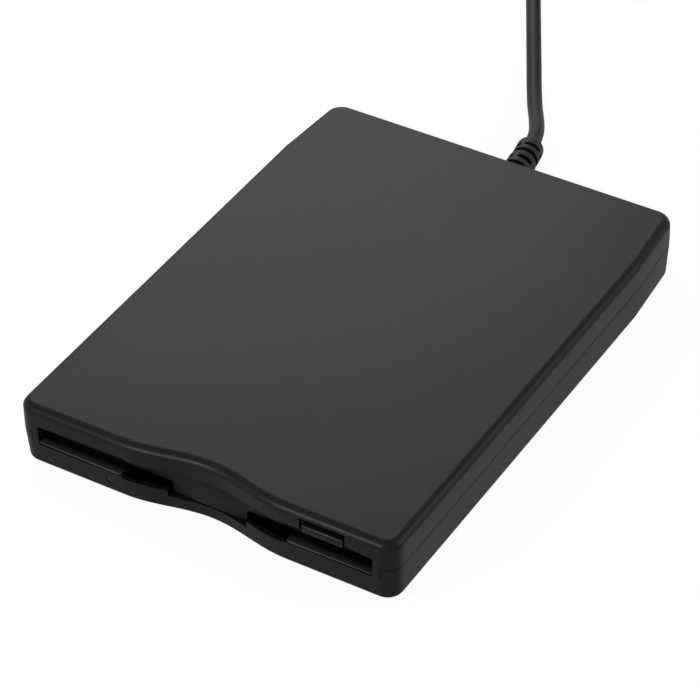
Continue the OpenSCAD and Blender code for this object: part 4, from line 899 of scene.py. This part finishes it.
# Its pieces lap each other by a little, and by a hair more or less, so that no two faces lie in one plane
def makeGuide():
    front, riser, floor = case["front"], guide["riserY"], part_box("front_frame")[0][2] / mm
    low, back, lap, hair = guide["ledgeLow"], guide["backHigh"], guide["lap"], guide["hair"]
    dark, shadeStrips = [], []

    def addDark(name, start, end, bevel):
        dark.append(cleanEdges(addBlock(name, start, end), bevel))

    addDark("bar", (-guide["cheekOut"], riser + guide["barFront"], floor),
            (guide["cheekOut"], riser + guide["barBack"], guide["barHigh"]), 0.15)
    for side in (-1, 1):
        x0, x1 = span(side, guide["ledgeEnd"], guide["cheekOut"])
        addDark("riser", (x0, riser, floor),
                (x1, riser + guide["riserThick"], back - guide["riserShort"]), 0.12)
        x0, x1 = span(side, guide["ledgeEnd"], guide["ledgeOut"])
        addDark("ledge", (x0, front + guide["stripDepth"] - guide["ledgeLap"], low + 2 * hair),
                (x1, riser + lap, back), 0.05)
        strip = addBlock("strip", (x0, front + guide["stripBack"], low),
                         (x1, front + guide["stripDepth"], guide["ledgeHigh"]))
        inner = side * guide["ledgeEnd"]
        roundEdges(strip, guide["ledgeRound"], 5,
                   lambda a, b: abs(a.x - inner) < near and abs(b.x - inner) < near
                   and abs(a.z - b.z) > least and a.y < front + 2 * guide["stripBack"])
        pick(strip, "VERT", lambda c: abs(c.x) > guide["ledgeOut"] - 10 * near and c.z < low + near)
        movePicked(0, 0, guide["ledgeRise"])
        bpy.ops.object.mode_set(mode="OBJECT")
        shadeStrips.append(cleanEdges(strip, 0.12, 3, 50, 50))
        x0, x1 = span(side, guide["ledgeOut"] - guide["bridgeLap"], guide["cheekIn"] + guide["bridgeEnd"])
        addDark("bridge", (x0, front + guide["cheekFront"], low + hair),
                (x1, riser + lap - hair, back - hair), 0.04)
        x0, x1 = span(side, guide["cheekIn"], guide["cheekOut"])
        end = flap["hingeY"] + guide["cheekBack"]
        cheek = addBlock("cheek", (x0, front + guide["cheekFront"], low),
                         (x1, end, flap["hingeZ"] + guide["cheekRise"]))
        carve(cheek, hingeRod("bore", flap["rod"] + guide["boreRoom"], x0 - over, x1 + over))
        dark.append(cleanEdges(cheek, 0.15, 2, 50))
        addDark("leg", (x0, riser, floor), (x1, end, low + guide["legLap"]), 0.12)
    # the bar, risers, ledge backs, bridges, cheeks and legs take the near-black painted shade, as they lie
    # in shade behind the slot
    for part in dark:
        part.data.materials.append(paintedShadePlastic)
    # the ledge strips take the painted shade that lightens towards the front
    for part in shadeStrips:
        part.data.materials.append(ledgeShadePlastic)
    return joinAll("slotGuide", dark + shadeStrips)

slotGuide = makeGuide()
show(slotGuide, "drive", "inner_plastic", "front_frame")
print("front: flap and slot guide made")


# The studio: a white floor and world for the camera, and plain light for the object; in metres
studio = {
    "floor": 6.0, "drop": 0.0002, "floorTone": 0.8, "floorRough": 0.9,
    "glow": 1.08, "glowShare": 0.86, "gloss": 0.68, "sky": 0.4,
}

def calculate(tree, operation, first, second):  # second is a socket or a number
    node = tree.nodes.new("ShaderNodeMath")
    node.operation = operation
    tree.links.new(first, node.inputs[0])
    if isinstance(second, float):
        node.inputs[1].default_value = second
    else:
        tree.links.new(second, node.inputs[1])
    return node.outputs[0]

# How much of the white background a ray sees: all for the camera, less in a reflection or refraction
def backgroundRays(tree):
    rays = tree.nodes.new("ShaderNodeLightPath")
    bent = calculate(tree, "MAXIMUM", rays.outputs["Is Glossy Ray"], rays.outputs["Is Transmission Ray"])
    dimmed = calculate(tree, "MULTIPLY", bent, studio["gloss"])
    camera = rays.outputs["Is Camera Ray"]
    return calculate(tree, "MAXIMUM", camera, dimmed), bent, camera

def makeFloor():
    dropSelection()
    bpy.ops.mesh.primitive_plane_add(size=studio["floor"], location=(0, 0, -studio["drop"]))
    floor = settle(bpy.context.object, "studioFloor")
    material, tree, shader = newMaterial("paleFloor")[:3]
    shader.inputs["Base Color"].default_value = (studio["floorTone"],) * 3 + (1,)
    shader.inputs["Roughness"].default_value = studio["floorRough"]
    shader.inputs["Specular IOR Level"].default_value = 0.0
    glow = tree.nodes.new("ShaderNodeEmission")
    seen, bent, camera = backgroundRays(tree)
    tree.links.new(calculate(tree, "MULTIPLY", seen, studio["glow"]), glow.inputs["Strength"])
    cameraPart = calculate(tree, "MULTIPLY", camera, studio["glowShare"])  # the rest keeps the shadow
    mix = tree.nodes.new("ShaderNodeMixShader")
    tree.links.new(calculate(tree, "MAXIMUM", cameraPart, bent), mix.inputs[0])
    tree.links.new(shader.outputs[0], mix.inputs[1])
    tree.links.new(glow.outputs[0], mix.inputs[2])
    tree.links.new(mix.outputs[0], tree.nodes["Material Output"].inputs["Surface"])
    floor.data.materials.append(material)

def makeWorld():
    world = bpy.data.worlds.new("studioWorld")
    bpy.context.scene.world = world
    world.use_nodes = True
    tree = world.node_tree
    sky = tree.nodes["Background"]
    sky.inputs["Color"].default_value = (1, 1, 1, 1)
    level = tree.nodes.new("ShaderNodeMapRange")
    level.inputs["To Min"].default_value = studio["sky"]
    level.inputs["To Max"].default_value = 1.0
    tree.links.new(backgroundRays(tree)[0], level.inputs["Value"])
    tree.links.new(level.outputs["Result"], sky.inputs["Strength"])

# places and sizes in metres, power in watts
lamps = {
    "backLamp": {"place": (-0.35, 0.476, 0.395), "aim": (0, 0, 0), "size": (0.38, 0.32), "power": 1.42},
    "frontLamp": {"place": (-0.08, -0.317, 0.135), "aim": (0, -0.07, 0.012), "size": (0.09, 0.06),
                  "power": 0.45},
    "sideLamp": {"place": (1.1, 0.6, 0.55), "aim": (0, 0, 0), "size": (0.6, 0.6), "power": 5},
}

def makeLamps():
    for name, lamp in lamps.items():
        bpy.ops.object.light_add(type="AREA", location=lamp["place"])
        made = bpy.context.object
        made.name = name
        made.data.shape = "RECTANGLE"
        made.data.size, made.data.size_y = lamp["size"]
        made.data.energy = lamp["power"]
        look = Vector(lamp["aim"]) - Vector(lamp["place"])
        made.rotation_euler = look.to_track_quat("-Z", "Y").to_euler()

makeFloor()
makeWorld()
makeLamps()
print("studio: floor, sky and lamps set")
